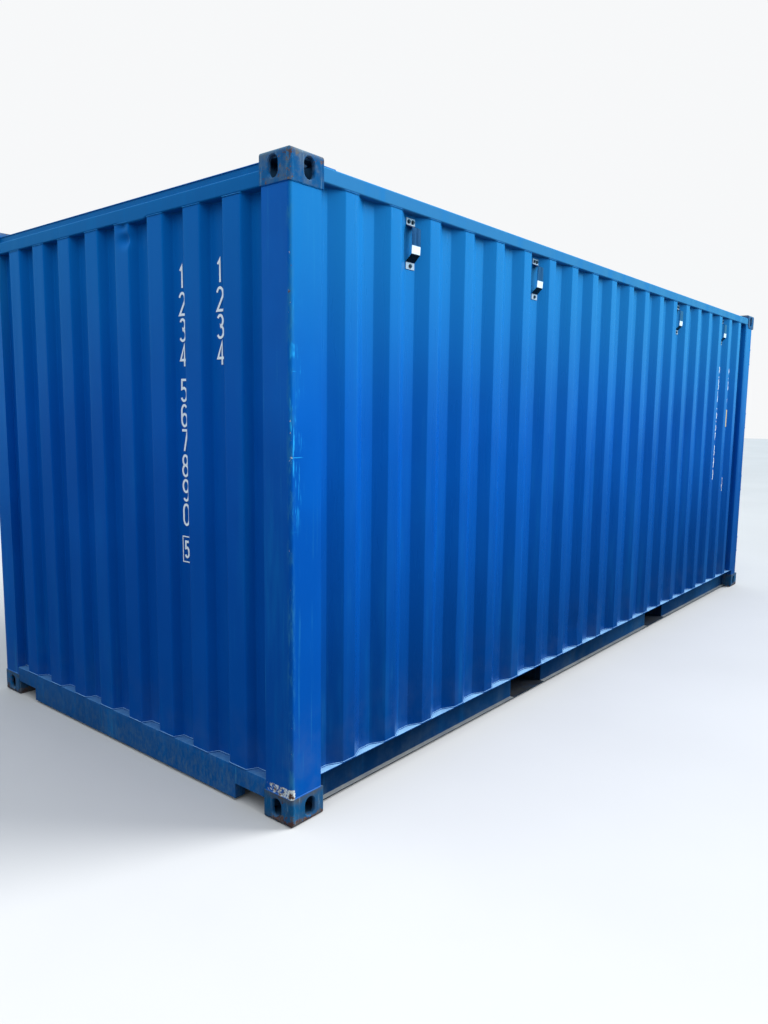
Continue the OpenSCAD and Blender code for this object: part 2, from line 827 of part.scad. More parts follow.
// Lugs on the rear post, the pin between them and the blade on the leaf
module hinges(side) {
    pin_x = rear_face + 20;
    pin_y = -half_width + frame_setback + 22;
    step = (leaf_top - leaf_bottom - 2 * hinge_inset) / (hinge_count - 1);
    color([0.12, 0.26, 0.55])
        on_side(side)
            for (k = [0:hinge_count - 1])
                translate([0, 0, leaf_bottom + hinge_inset + k * step]) {
                    for (z = [-hinge_height / 2 - 14, hinge_height / 2]) {
                        translate([pin_x, pin_y, z]) cylinder(r = 17, h = 14);
                        box_between([rear_face, pin_x], [pin_y - 17, pin_y + 17], [z, z + 14]);
                    }
                    translate([pin_x, pin_y, -hinge_height / 2 - 18])
                        cylinder(r = hinge_pin, h = hinge_height + 36);
                    translate([pin_x, pin_y, -hinge_height / 2 + 1])
                        cylinder(r = 15, h = hinge_height - 2);
                    translate([0, 0, -hinge_height / 2 + 1])
                        linear_extrude(hinge_height - 2)
                            polygon([
                                [pin_x + 4, pin_y], [pin_x + 4, pin_y + 30],
                                [door_face + hinge_blade, -leaf_edge + 16],
                                [door_face + hinge_blade, -leaf_edge + hinge_reach],
                                [door_face, -leaf_edge + hinge_reach], [door_face, -leaf_edge + 8],
                                [pin_x - 8, pin_y + 24], [pin_x - 8, pin_y]
                            ]);
                }
}

module hinges_left() { hinges(left); }
module hinges_right() { hinges(right); }

rod_low = casting_height - 12;
rod_high = top_rail_top - 52;
cam_places = [rod_low + 2, rod_high - cam_height - 2];

// Rod with a cam at each end and a flat handle that folds against the leaf
module lock_rod(side, y, handle, way) {
    color([0.5, 0.52, 0.53])
        on_side(side) {
            translate([rod_axis, y, rod_low]) cylinder(r = rod_radius, h = rod_high - rod_low);
            for (z = cam_places)
                difference() {
                    translate([rod_axis, y, z]) cylinder(r = 27, h = cam_height);
                    box_between([rod_axis - 40, rear_face + 1], [y - 40, y + 40],
                        [z - 1, z + cam_height + 1]);
                }
            difference() {
                box_between([rod_axis, rod_axis + 27], [y - 22, y + 22], [handle - 26, handle + 26]);
                box_between([rod_axis + rod_radius + 1, rod_axis + 28], [y - 23, y + 23],
                    [handle - 8, handle + 8]);
            }
            box_between([rod_axis + rod_radius + 1, rod_axis + rod_radius + 9],
                way < 0 ? [y - handle_length, y + 18] : [y - 18, y + handle_length],
                [handle - 8, handle + 8]);
            box_between([rod_axis + rod_radius + 1, rod_axis + rod_radius + 9],
                way < 0 ? [y - handle_length, y - 40] : [y + 40, y + handle_length],
                [handle - 18, handle + 18]);
        }
}

module lock_rods(side) {
    lock_rod(side, -inner_rod, inner_handle, -1);
    lock_rod(side, -outer_rod, outer_handle, 1);
}

module lock_rods_left() { lock_rods(left); }
module lock_rods_right() { lock_rods(right); }

leaf_height = leaf_top - leaf_bottom;
guide_places = [
    leaf_bottom + guide_inset, leaf_bottom + 0.256 * leaf_height,
    leaf_bottom + 0.694 * leaf_height, leaf_top - guide_inset
];

// Bored guides that hold the rods, and a catch under each handle
module rod_brackets(side) {
    color([0.12, 0.26, 0.55])
        on_side(side) {
            for (y = [-inner_rod, -outer_rod], z = guide_places) {
                box_between([door_face, door_face + 6], [y - 55, y + 55], [z - 32, z + 32]);
                difference() {
                    box_between([door_face, rod_axis + rod_radius + 6], [y - 25, y + 25],
                        [z - 22, z + 22]);
                    translate([rod_axis, y, z - 40]) cylinder(r = rod_radius + 0.3, h = 80);
                }
            }
            for (p = [
                [-inner_rod - handle_length + 60, inner_handle],
                [-outer_rod + handle_length - 60, outer_handle]
            ]) {
                box_between([door_face, door_face + 6], [p[0] - 34, p[0] + 34],
                    [p[1] - 50, p[1] + 50]);
                box_between([door_face, rod_axis + rod_radius + 1], [p[0] - 20, p[0] + 20],
                    [p[1] - 18, p[1] + 18]);
                box_between([door_face, rod_axis + rod_radius + 11], [p[0] - 20, p[0] + 20],
                    [p[1] - 26, p[1] - 18.3]);
            }
        }
}

module rod_brackets_left() { rod_brackets(left); }
module rod_brackets_right() { rod_brackets(right); }

// Cheeks on the header and the sill that hold the cams
module cam_keepers() {
    color([0.12, 0.26, 0.55])
        for (s = [left, right])
            on_side(s)
                for (y = [-inner_rod, -outer_rod], z = cam_places, e = [-1, 1])
                    translate([rear_face, y + e * (28 + keeper_plate / 2) - keeper_plate / 2, z - 4])
                        cube([34, keeper_plate, cam_height + 8]);
}

// Bent strap bolted flat to a recess at its top and its foot
module strap_brackets(side) {
    back = sheet_setback + wave_depth;
    face = back - strap_rise;
    z1 = top_rail_bottom - strap_drop;
    z0 = z1 - strap_height;
    strap_path = [
        [z0, back - strap], [z0 + strap_foot, back - strap],
        [z0 + 2 * strap_foot, face + 2], [z1 - strap_head - strap_flat, face],
        [z1 - strap_head, face],
        [z1 - strap_foot, back - strap], [z1, back - strap]
    ];
    color([0.75, 0.76, 0.77])
        on_side(side)
            for (k = strap_recess)
                translate([wave_start + side_inner / 2 + k * side_pitch, -half_width, 0])
                    rotate([90, 0, 90])
                        translate([0, 0, -strap_width / 2])
                            linear_extrude(strap_width)
                                polygon([
                                    for (p = bent_sheet(folded(strap_path), strap)) [p[1], p[0]]
                                ]);
}

module strap_brackets_left() { strap_brackets(left); }
module strap_brackets_right() { strap_brackets(right); }

casting_bottom_front_left();
casting_bottom_front_right();
casting_bottom_rear_left();
casting_bottom_rear_right();
casting_top_front_left();
casting_top_front_right();
casting_top_rear_left();
casting_top_rear_right();
front_post_left();
front_post_right();
rear_post_left();
rear_post_right();
front_header();
front_sill();
door_header();
door_lintel();
door_sill();
door_threshold();
top_rail_left();
top_rail_right();
bottom_rail_left();
bottom_rail_right();
bottom_rail_webs();
front_wall();
side_wall_left();
side_wall_right();
roof_sheet();
roof_end_plates();
floor_boards();
cross_members();
fork_pocket_sides();
fork_pocket_plates();
door_frame_left();
door_frame_right();
door_panel_left();
door_panel_right();
door_seal_left();
door_seal_right();
hinges_left();
hinges_right();
lock_rods_left();
lock_rods_right();
rod_brackets_left();
rod_brackets_right();
cam_keepers();
strap_brackets_left();
strap_brackets_right();
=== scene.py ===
import math
import random
from functools import partial

import bmesh
import bpy
from mathutils import Matrix, Vector, noise


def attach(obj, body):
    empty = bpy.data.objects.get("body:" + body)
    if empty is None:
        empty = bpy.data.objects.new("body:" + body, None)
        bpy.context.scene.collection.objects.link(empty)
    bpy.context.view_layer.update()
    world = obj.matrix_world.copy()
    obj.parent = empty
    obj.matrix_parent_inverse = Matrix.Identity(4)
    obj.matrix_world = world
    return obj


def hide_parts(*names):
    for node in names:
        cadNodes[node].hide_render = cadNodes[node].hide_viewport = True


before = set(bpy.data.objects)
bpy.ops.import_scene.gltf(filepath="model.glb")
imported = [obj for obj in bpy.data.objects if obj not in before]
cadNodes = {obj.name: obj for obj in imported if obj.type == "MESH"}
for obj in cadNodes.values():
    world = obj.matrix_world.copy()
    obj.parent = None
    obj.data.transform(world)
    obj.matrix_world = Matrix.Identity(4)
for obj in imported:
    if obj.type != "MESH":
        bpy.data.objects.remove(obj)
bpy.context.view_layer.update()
scene = bpy.context.scene
print("frame loaded:", len(cadNodes), "nodes")

# The container in metres: -X is the blind front end, -Y the left long side
box = dict(
    halfLength=3.029, halfWidth=1.219, castingLength=0.178, castingHeight=0.118,
    headBottom=2.473,  # underside of the top castings
    setback=0.004,
    jambFront=-2.861,  # where the side sheets meet the front posts
    jambRear=2.790,
    railBottomTop=0.172,  # top of the bottom side rails
    railTopBottom=2.500,  # underside of the top side rails
    railTopTop=2.560,
    frontEdge=1.064,  # where the front sheet meets the posts
    sillTop=0.160, headerBottom=2.473, sheet=0.002,
)

# Read from the photograph; the angles are in degrees, the yaw from +X towards +Y
cameraSettings = dict(
    place=(-5.0453, -3.3365, 1.6467), yaw=39.502, pitch=-7.26, roll=0.657, focalPixels=777.65,
    longSide=1024, film=36, farthest=200,
)


def addObject(name, data):
    thing = bpy.data.objects.new(name, data)
    scene.collection.objects.link(thing)
    return thing


def placeCamera(settings):
    yaw, pitch, roll = (math.radians(settings[k]) for k in ("yaw", "pitch", "roll"))
    ahead = Vector((math.cos(pitch) * math.cos(yaw), math.cos(pitch) * math.sin(yaw), math.sin(pitch)))
    level = ahead.cross(Vector((0, 0, 1))).normalized()
    up = level.cross(ahead)
    right = level * math.cos(roll) + up * math.sin(roll)
    up = up * math.cos(roll) - level * math.sin(roll)
    lens = bpy.data.cameras.new("photoLens")
    lens.sensor_fit = "AUTO"
    lens.sensor_width = settings["film"]
    lens.lens = settings["film"] * settings["focalPixels"] / settings["longSide"]
    lens.clip_end = settings["farthest"]
    viewer = addObject("photoCamera", lens)
    turn = Matrix((right, up, -ahead)).transposed().to_4x4()
    viewer.matrix_world = Matrix.Translation(settings["place"]) @ turn
    scene.camera = viewer


placeCamera(cameraSettings)
scene.view_settings.view_transform = "Standard"
print("camera placed")


# A node tree and the steps that finishes are mixed from; a value is a number, a colour or a socket
class Mixer:
    def __init__(self, tree):
        self.tree = tree
        tree.nodes.clear()

    def feed(self, node, values):
        for key, value in values.items():
            socket = node.inputs[key]
            if isinstance(value, bpy.types.NodeSocket):
                self.tree.links.new(value, socket)
            else:
                socket.default_value = (*value, 1) if socket.type == "RGBA" else value

    def add(self, kind, values=None, **settings):
        node = self.tree.nodes.new("ShaderNode" + kind)
        for key, value in settings.items():
            setattr(node, key, value)
        self.feed(node, values or {})
        return node

    def cloud(self, scale, detail=3.0, roughness=0.5, stretch=(1, 1, 1)):
        place = self.add("Mapping", {"Vector": self.point, "Scale": stretch}).outputs[0]
        values = {"Vector": place, "Scale": scale, "Detail": detail, "Roughness": roughness}
        return self.add("TexNoise", values).outputs[0]

    def spread(self, value, low, high, toLow=0.0, toHigh=1.0):
        values = {"Value": value, "From Min": low, "From Max": high, "To Min": toLow, "To Max": toHigh}
        return self.add("MapRange", values, interpolation_type="SMOOTHSTEP").outputs[0]

    def sums(self, kind, first, second):
        return self.add("Math", {0: first, 1: second}, operation=kind).outputs[0]

    def times(self, first, second):
        return self.sums("MULTIPLY", first, second)

    # One between low and high, nothing outside
    def within(self, value, low, high, soft):
        return self.times(self.spread(value, low - soft, low + soft),
                          self.spread(value, high - soft, high + soft, 1, 0))

    def blend(self, amount, first, second):
        return self.add("Mix", {0: amount, 6: first, 7: second}, data_type="RGBA").outputs[2]

    def axis(self, number, source=None):
        return self.add("SeparateXYZ", {0: source or self.point}).outputs[number]

    def finish(self, colour, rough, layers, **others):
        bump = None
        for height, strength, distance in layers:
            values = {"Height": height, "Strength": strength, "Distance": distance}
            bump = self.add("Bump", dict(values, Normal=bump) if bump else values).outputs[0]
        values = {"Base Color": colour, "Roughness": rough, "Normal": bump}
        self.feed(self.shader, dict(values, **others))
        return self.material


def newFinish(name):
    material = bpy.data.materials.new(name)
    material.use_nodes = True
    mix = Mixer(material.node_tree)
    mix.material = material
    mix.shader = mix.add("BsdfPrincipled")
    mix.add("OutputMaterial", {0: mix.shader.outputs[0]})
    source = mix.add("TexCoord")
    mix.point, mix.facing = source.outputs["Object"], source.outputs["Normal"]
    return mix


# Tones of the paint, of what lies on it or shows through, and of the painted light and shade on it
bluePaint = dict(
    sheet=(0.0004, 0.080, 0.385), sheetDeep=(0.0003, 0.064, 0.330), frame=(0.0006, 0.074, 0.330),
    # foot is the tone of the painted shade towards the bottom
    frameDeep=(0.0005, 0.056, 0.280), foot=(0.0003, 0.032, 0.165),
    sky=(0.009, 0.172, 0.430),  # painted sky sheen towards the top
    faded=(0.001, 0.150, 0.430), scuff=(0.02, 0.22, 0.44), rubbed=(0.020, 0.155, 0.330),
    scored=(0.020, 0.38, 0.78), dust=(0.13, 0.18, 0.18), ledgeDustAndSkySheen=(0.16, 0.34, 0.56),
    primer=(0.46, 0.47, 0.45), scrape=(0.16, 0.26, 0.34),
    haze=(0.070, 0.066, 0.060),  # grime baked on bare steel
    rust=(0.075, 0.028, 0.013), rustLight=(0.19, 0.080, 0.040), groundShadow=(0.005, 0.008, 0.013),
    inside=(0.014, 0.036, 0.070),  # of the castings, where less light falls
)

# Hollows of the corner castings, along and across from the middle and up from the ground
castingHollow = dict(
    along=(2.862, 3.0155), across=(1.068, 1.2055), low=(0.026, 0.110), high=(2.481, 2.565), soft=0.0005,
)


# Weathered paint with painted light and shade; look says how much dust, fading, chipping and scratching it
# has taken, and how much painted sheen and shade it carries
def mixPaint(name, look):
    mix = newFinish(name)
    height = mix.axis(2)
    upward = mix.spread(mix.axis(2, mix.facing), 0.55, 0.95)
    litSide = mix.spread(mix.axis(1, mix.facing), -0.9, -0.3, 1, look["shaded"])
    fade = mix.cloud(1.1, 4, 0.55)
    streak = mix.cloud(5.0, 4, 0.6, (2.2, 2.2, 0.22))
    colour = mix.blend(mix.spread(fade, 0.32, 0.68), look["deep"], look["base"])
    # painted sky sheen: lighter towards the top, most on faces that look to the lit left side
    skySheen = mix.times(mix.spread(height, 1.5, 2.5, 0, look["skySheen"]), litSide)
    colour = mix.blend(skySheen, colour, look["sky"])
    # painted shade: darker towards the bottom
    lowShade = mix.spread(height, 0.0, 1.6, look["lowShade"], 0)
    colour = mix.blend(lowShade, colour, bluePaint["foot"])
    colour = mix.blend(mix.spread(streak, 0.5, 0.8, 0, look["fade"]), colour, bluePaint["faded"])
    if look["scratch"]:  # hair-fine upright scuffs
        hair = mix.cloud(26.0, 5, 0.75, (3.4, 3.4, 0.05))
        clump = mix.cloud(2.6, 3, 0.6)
        scuff = mix.times(mix.spread(hair, 0.56, 0.68), mix.spread(clump, 0.42, 0.66))
        colour = mix.blend(mix.times(scuff, look["scratch"]), colour, bluePaint["scuff"])
    grime = mix.cloud(*look["dustGrain"])
    if "edge" in look:  # rubbed along the outer upright edge
        away = [mix.sums("SUBTRACT", mix.axis(k), look["edge"][k]) for k in (0, 1)]
        nearEdge = mix.sums("MAXIMUM", *(mix.sums("ABSOLUTE", side, 0) for side in away))
        worn = mix.spread(mix.cloud(30.0, 6, 0.8, (1, 1, 0.25)), 0.44, 0.62)
        worn = mix.times(worn, mix.spread(nearEdge, 0.004, 0.030, 0.75, 0))
        colour = mix.blend(worn, colour, bluePaint["rubbed"])
    if "scored" in look:  # pale scores beside that edge, upright and level
        low, high, soft, reach = look["scored"]
        upright = mix.spread(mix.cloud(34.0, 3, 0.7, (2.4, 2.4, 0.16)), 0.54, 0.62)
        level = mix.spread(mix.cloud(34.0, 3, 0.7, (0.2, 0.2, 2.4)), 0.64, 0.70)
        zone = mix.times(mix.within(height, low, high, soft),
                     mix.spread(nearEdge, reach * 0.4, reach, 0.8, 0))
        zone = mix.times(zone, mix.spread(mix.cloud(8.0, 3, 0.6), 0.38, 0.52))
        zone = mix.times(zone, mix.spread(mix.axis(1, mix.facing), -0.9, -0.3, 1, 0))
        scores = mix.times(mix.sums("MAXIMUM", upright, level), zone)
        colour = mix.blend(scores, colour, bluePaint["scored"])
    dusty = mix.times(mix.spread(height, 0.0, look["dustTop"], 1, 0), mix.spread(grime, 0.38, 0.74))
    dusty = mix.times(dusty, look["dust"])
    colour = mix.blend(dusty, colour, bluePaint["dust"])
    # dust and painted sky sheen on faces that look up
    ledgeDustSheen = mix.times(upward, mix.spread(grime, 0.25, 0.7, look["ledgeDustSheen"] * 0.6, look["ledgeDustSheen"]))
    colour = mix.blend(ledgeDustSheen, colour, look["ledgeDustSheenColour"])
    rough = mix.spread(streak, 0.3, 0.75, look["rough"] - 0.05, look["rough"] + 0.10)
    rough = mix.sums("ADD", rough, mix.times(mix.sums("MAXIMUM", dusty, ledgeDustSheen), 0.4))
    speck = mix.cloud(55.0, 5, 0.72)
    where = mix.times(mix.cloud(9.0, 6, 0.7), speck)
    if "edge" in look:  # chips gather along that edge
        where = mix.sums("ADD", where, mix.spread(nearEdge, 0.0, 0.03, look["edge"][2], 0))
    if "strip" in look:  # the scraped band over the near bottom casting
        band = mix.within(height, *look["strip"]["heights"], 0.004)
        corner = [mix.spread(mix.axis(k), end - 0.01, end, 1, 0)
                  for k, end in enumerate(look["strip"]["ends"])]
        band = mix.times(band, mix.times(*corner))
        where = mix.sums("ADD", where, mix.times(band, look["strip"]["amount"]))
    if "rustFoot" in look:  # rust creeping up from the ground
        where = mix.sums("ADD", where, mix.spread(height, 0.0, 0.05, look["rustFoot"], 0))
    level = 0.50 - look["chips"]
    chipped = mix.spread(where, level, level + 0.022)
    inner = mix.cloud(30.0, 5, 0.7)
    clean = mix.spread(inner, look["bare"], look["bare"] + 0.14)
    metal = mix.blend(clean, bluePaint["rust"], look["under"])
    metal = mix.blend(mix.spread(speck, 0.52, 0.7, 0, 0.6), metal, bluePaint["rustLight"])
    colour = mix.blend(chipped, colour, metal)
    rough = mix.sums("ADD", rough, mix.times(chipped, 0.3))
    if "haze" in look:  # grime baked on the castings, thickest along their upper edge
        soot = mix.spread(mix.cloud(15, 6, 0.7), 0.40, 0.70, 0, look["haze"])
        brim = mix.spread(height, look["brim"] - 0.03, look["brim"], 0, 0.55)
        soot = mix.sums("MINIMUM", mix.sums("ADD", soot, brim), 0.85)
        colour = mix.blend(soot, colour, look["hazeColour"])
        scrape = mix.spread(mix.cloud(34.0, 6, 0.8, (2.6, 2.6, 0.22)), 0.56, 0.66, 0, 0.55)
        colour = mix.blend(scrape, colour, bluePaint["scrape"])
        soft = castingHollow["soft"]  # painted shade inside them
        flat = [mix.within(mix.sums("ABSOLUTE", mix.axis(k), 0), *castingHollow[key], soft)
                for k, key in enumerate(("along", "across"))]
        tall = [mix.within(height, *castingHollow[key], soft) for key in ("low", "high")]
        hollow = mix.times(mix.times(*flat), mix.sums("ADD", *tall))
        colour = mix.blend(hollow, colour, bluePaint["inside"])
    if "keelShadow" in look:  # painted shadow along the lowest edge, where it meets the ground
        keelShadow = mix.spread(height, look["keelShadow"] - 0.0004, look["keelShadow"], 1, 0)
        colour = mix.blend(keelShadow, colour, bluePaint["groundShadow"])
    layers = ((mix.cloud(260, 2), 0.10, 0.0004), (mix.cloud(14, 3), 0.10, 0.002), (chipped, -0.25, 0.0008))
    shine = {"Specular IOR Level": look["shine"], "Specular Tint": (0.10, 0.50, 1.0)}
    return mix.finish(colour, rough, layers, **shine)


# edge is the x and y of the rubbed edge and how much it chips; scored is the lowest and highest place of
# the scores, how softly they end and how far they reach from that edge
sheetLook = dict(
    base=bluePaint["sheet"], deep=bluePaint["sheetDeep"], sky=bluePaint["sky"], skySheen=0.6,
    shaded=1,  # share of the painted sky sheen on faces that look another way than the left side
    lowShade=0.5, fade=0.22, scratch=0.12, dustTop=0.6, dust=0.10, dustGrain=(7.0, 6, 0.68), ledgeDustSheen=0.5,
    ledgeDustSheenColour=bluePaint["ledgeDustAndSkySheen"], rough=0.28, shine=0.5, chips=0.005,
    bare=0.44,  # from here up the metal under a chip shows clean
    under=bluePaint["primer"], hazeColour=bluePaint["haze"],
)
frameLook = dict(
    sheetLook, base=bluePaint["frame"], deep=bluePaint["frameDeep"], dust=0.15, rough=0.40, chips=0.015)
topLook = dict(frameLook, fade=0.7, dust=0.0, rough=0.36, skySheen=0.9, sky=(0.024, 0.160, 0.350))
railLook = dict(
    frameLook, dustTop=0.2, dust=0.10, ledgeDustSheen=0.95, rough=0.45, lowShade=0.8, ledgeDustSheenColour=(0.22, 0.42, 0.62))
# painted shade on the bottom rail webs under their upper flange
shadedWebLook = dict(
    railLook, base=(0.0004, 0.020, 0.078), deep=(0.0004, 0.012, 0.045), dust=0.12, lowShade=0, fade=0.1,
    shine=0.25, ledgeDustSheenColour=(0.19, 0.20, 0.195), keelShadow=0.0183)
# painted shade inside the fork pockets
shadedPocketLook = dict(
    shadedWebLook, base=(0.003, 0.009, 0.024), deep=(0.002, 0.006, 0.014), ledgeDustSheen=0.55, shine=0.1,
    ledgeDustSheenColour=(0.030, 0.024, 0.018), keelShadow=0.0143)
sillLook = dict(
    frameLook, base=(0.0006, 0.084, 0.290), deep=(0.0006, 0.062, 0.215), dustTop=0.30, dust=0.50,
    dustGrain=(64, 6, 0.78, (1, 1, 0.45)), ledgeDustSheen=0.35, rough=0.5, chips=0.035, lowShade=0.3, scratch=0.9,
    fade=0.4)
postLook = dict(
    frameLook, base=(0.0004, 0.088, 0.410), deep=(0.0004, 0.066, 0.335), chips=0.03, scratch=0.4, fade=0.4,
    rough=0.34, shine=0.3, skySheen=0.8, shaded=0.1, lowShade=0.35, bare=0.38, under=(0.58, 0.62, 0.61),
    edge=(-3.025, -1.215, 0.135), scored=(1.28, 1.98, 0.15, 0.078),
    strip={"heights": (0.119, 0.160), "ends": (-3.0, -1.05), "amount": 0.205})
castingLook = dict(
    frameLook, base=(0.002, 0.080, 0.215), deep=(0.002, 0.048, 0.125), chips=0.190, lowShade=0, rough=0.5,
    under=(0.075, 0.072, 0.070), ledgeDustSheen=0.3, rustFoot=0.13, haze=0.45, brim=0.118,
    edge=(-3.024, -1.214, 0.035))
headLook = dict(
    castingLook, base=(0.002, 0.075, 0.230), deep=(0.002, 0.055, 0.165), chips=0.205, fade=0.3, haze=0.8,
    brim=2.591, under=(0.11, 0.10, 0.09), skySheen=0, hazeColour=(0.105, 0.125, 0.140))

sidePaint = mixPaint("sideWallPaint", dict(sheetLook, lowShade=1.0, skySheen=0.8, shine=0.75))
sheetPaint = mixPaint("sheetPaint", dict(sheetLook, rough=0.34, shine=0.32, lowShade=0.35, skySheen=0.4))
frontPaint = mixPaint("frontWallPaint", dict(
    sheetLook, rough=0.38, shine=0.14, lowShade=0.35, skySheen=0.4, sky=(0.002, 0.150, 0.400)))
headerPaint = mixPaint("frontHeaderPaint", dict(
    topLook, shine=0.14, fade=0.4, skySheen=0.6, sky=(0.003, 0.125, 0.330)))
roofPaint = mixPaint("roofPaint", dict(sheetLook, rough=0.42, ledgeDustSheen=0.35, skySheen=0.9, fade=0.5, chips=0.03))
framePaint = mixPaint("framePaint", frameLook)
topPaint = mixPaint("topRailPaint", topLook)
railPaint = mixPaint("railPaint", railLook)
shadedWebPaint = mixPaint("railWebPaintedShade", shadedWebLook)
sillPaint = mixPaint("sillPaint", sillLook)
postPaint = mixPaint("postPaint", postLook)
shadedPocketPaint = mixPaint("forkPocketPaintedShade", shadedPocketLook)
castingPaint = mixPaint("castingPaint", castingLook)
headPaint = mixPaint("topCastingPaint", headLook)


# A finish of two tones that a fine grain mixes
def mixPlain(name, base, other, metallic, rough, scale, dirt=0.0):
    mix = newFinish(name)
    grain = mix.cloud(scale, 5, 0.62)
    colour = mix.blend(mix.spread(grain, 0.3, 0.7), base, other)
    if dirt:
        grime = mix.cloud(6.0, 6, 0.7)
        colour = mix.blend(mix.spread(grime, 0.45, 0.75, 0, dirt), colour, bluePaint["dust"])
    rough = mix.spread(grain, 0.25, 0.75, rough - 0.08, rough + 0.12)
    return mix.finish(colour, rough, [(grain, 0.15, 0.001)], Metallic=metallic)


zincSteel = mixPlain("zincSteel", (0.40, 0.41, 0.42), (0.54, 0.55, 0.56), 0.55, 0.42, 38, 0.3)
boltSteel = mixPlain("boltSteel", (0.03, 0.035, 0.045), (0.10, 0.11, 0.13), 0.7, 0.35, 90)
sealRubber = mixPlain("sealRubber", (0.012, 0.012, 0.013), (0.03, 0.03, 0.03), 0.0, 0.62, 40, 0.25)
underCoat = mixPlain("underCoat", (0.018, 0.018, 0.020), (0.05, 0.048, 0.045), 0.0, 0.7, 12, 0.45)
# white paint with a painted bluish cast of skylight
digitWhiteSkyTinted = mixPlain("digitWhiteSkyTinted", (0.80, 0.86, 0.90), (0.86, 0.91, 0.94), 0.0, 0.45, 50, 0.10)
plateYellow = mixPlain("plateYellow", (0.66, 0.47, 0.15), (0.74, 0.54, 0.20), 0.0, 0.45, 30, 0.2)

# Polished strap: its face carries a painted dark reflection of the sky, the bend under it a painted bright
# glint, the slope below painted shade
strapLook = dict(
    bend=(2.331, 2.366), slope=(2.302, 2.330), footTop=(2.299, 2.301), headFoot=(2.455, 2.457), soft=0.002,
    face=((0.030, 0.060, 0.135), (0.075, 0.125, 0.230)), footTone=(0.50, 0.56, 0.62),
    slopeShade=(0.028, 0.030, 0.034), bendGlint=(0.90, 0.92, 0.94), metallic=0.9, paler=0.65,
)


def strapMaterial(look):
    mix = newFinish("strapSteel")
    height = mix.axis(2)
    grain = mix.cloud(70, 4, 0.6, (1, 1, 0.12))
    tone = mix.blend(mix.spread(grain, 0.35, 0.65), *look["face"])
    # band of the painted bright glint
    bend = mix.within(height, *look["bend"], look["soft"])
    feet = mix.sums("MAXIMUM", mix.spread(height, *look["footTop"], 1, 0),
                mix.spread(height, *look["headFoot"]))
    tone = mix.blend(mix.times(feet, 0.9), tone, look["footTone"])
    tone = mix.blend(mix.within(height, *look["slope"], look["soft"]), tone, look["slopeShade"])
    tone = mix.blend(bend, tone, look["bendGlint"])
    pale = mix.times(mix.sums("MAXIMUM", bend, feet), look["paler"])
    metallic = mix.sums("SUBTRACT", look["metallic"], pale)
    rough = mix.spread(grain, 0.3, 0.7, 0.20, 0.34)
    return mix.finish(tone, rough, [(grain, 0.04, 0.0005)], Metallic=metallic)


strapSteel = strapMaterial(strapLook)


def boardMaterial():
    mix = newFinish("floorPly")
    grain = mix.cloud(9, 7, 0.65, (0.12, 1.6, 1))
    wear = mix.cloud(2.2, 5, 0.6)
    colour = mix.blend(mix.spread(grain, 0.35, 0.65), (0.20, 0.095, 0.045), (0.36, 0.20, 0.10))
    colour = mix.blend(mix.spread(wear, 0.45, 0.75, 0, 0.5), colour, (0.30, 0.27, 0.23))
    return mix.finish(colour, mix.spread(wear, 0.3, 0.7, 0.5, 0.75), [(grain, 0.3, 0.001)])


floorPly = boardMaterial()
print("finishes mixed")


# Mesh tools
def shadeByAngle(mesh, limit):
    work = bmesh.new()
    work.from_mesh(mesh)
    bmesh.ops.recalc_face_normals(work, faces=work.faces)
    for face in work.faces:
        face.smooth = True
    for edge in work.edges:
        edge.smooth = len(edge.link_faces) == 2 and edge.calc_face_angle(0) < math.radians(limit)
    work.to_mesh(mesh)
    work.free()


def addPiece(name, mesh, material, nodeSlot):
    mesh.materials.append(material)
    piece = addObject(name, mesh)
    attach(piece, "root")
    return piece


def makePiece(name, verts, faces, material, nodeSlot, smoothBelow=32):
    mesh = bpy.data.meshes.new(name)
    mesh.from_pydata([tuple(v) for v in verts], [], faces)
    mesh.validate()
    shadeByAngle(mesh, smoothBelow)
    return addPiece(name, mesh, material, nodeSlot)


# Points on the sides and on the front end, depth being measured inwards from the outer faces
def sidePoint(sign, along, depth, height):
    return Vector((along, sign * (box["halfWidth"] - depth), height))


def frontPoint(across, depth, height):
    return Vector((-box["halfLength"] + depth, across, height))


def bendCorners(path, radius, steps):
    out = [Vector(path[0])]
    for i in range(1, len(path) - 1):
        here = Vector(path[i])
        back = Vector(path[i - 1]) - here
        ahead = Vector(path[i + 1]) - here
        turn = math.pi - back.angle(ahead)
        if turn < 0.02:  # as good as straight
            out.append(here)
            continue
        reach = min(radius * math.tan(turn / 2), back.length * 0.45, ahead.length * 0.45)
        start = here + back.normalized() * reach
        end = here + ahead.normalized() * reach
        for k in range(steps + 1):
            t = k / steps
            out.append(start * (1 - t) ** 2 + here * 2 * t * (1 - t) + end * t ** 2)
    out.append(Vector(path[-1]))
    return out


def fillIn(path, longest):
    out = [path[0]]
    for a, b in zip(path, path[1:]):
        parts = max(1, math.ceil((b - a).length / longest))
        out += [a.lerp(b, k / parts) for k in range(1, parts + 1)]
    return out


def stations(low, high, step):
    count = max(1, round((high - low) / step))
    return [low + (high - low) * k / count for k in range(count + 1)]


# Middles of equal folds on both sides of a centre
def foldMiddles(spec, centre=0.0):
    return [centre + (k - (spec["waves"] - 1) / 2) * spec["pitch"] for k in range(spec["waves"])]


# From start to end at the depth base, with a fold to the depth crest at each of the middles
def foldedPath(start, end, middles, half, slope, base, crest):
    far = half + slope
    path = [(start, base)]
    for c in middles:
        path += [(c - far, base), (c - half, crest), (c + half, crest), (c + far, base)]
    return path + [(end, base)]


def sheetNormals(path):
    normals = []
    for i in range(len(path)):
        along = (path[min(i + 1, len(path) - 1)] - path[max(i - 1, 0)]).normalized()
        normals.append(Vector((-along.y, along.x)))
    return normals


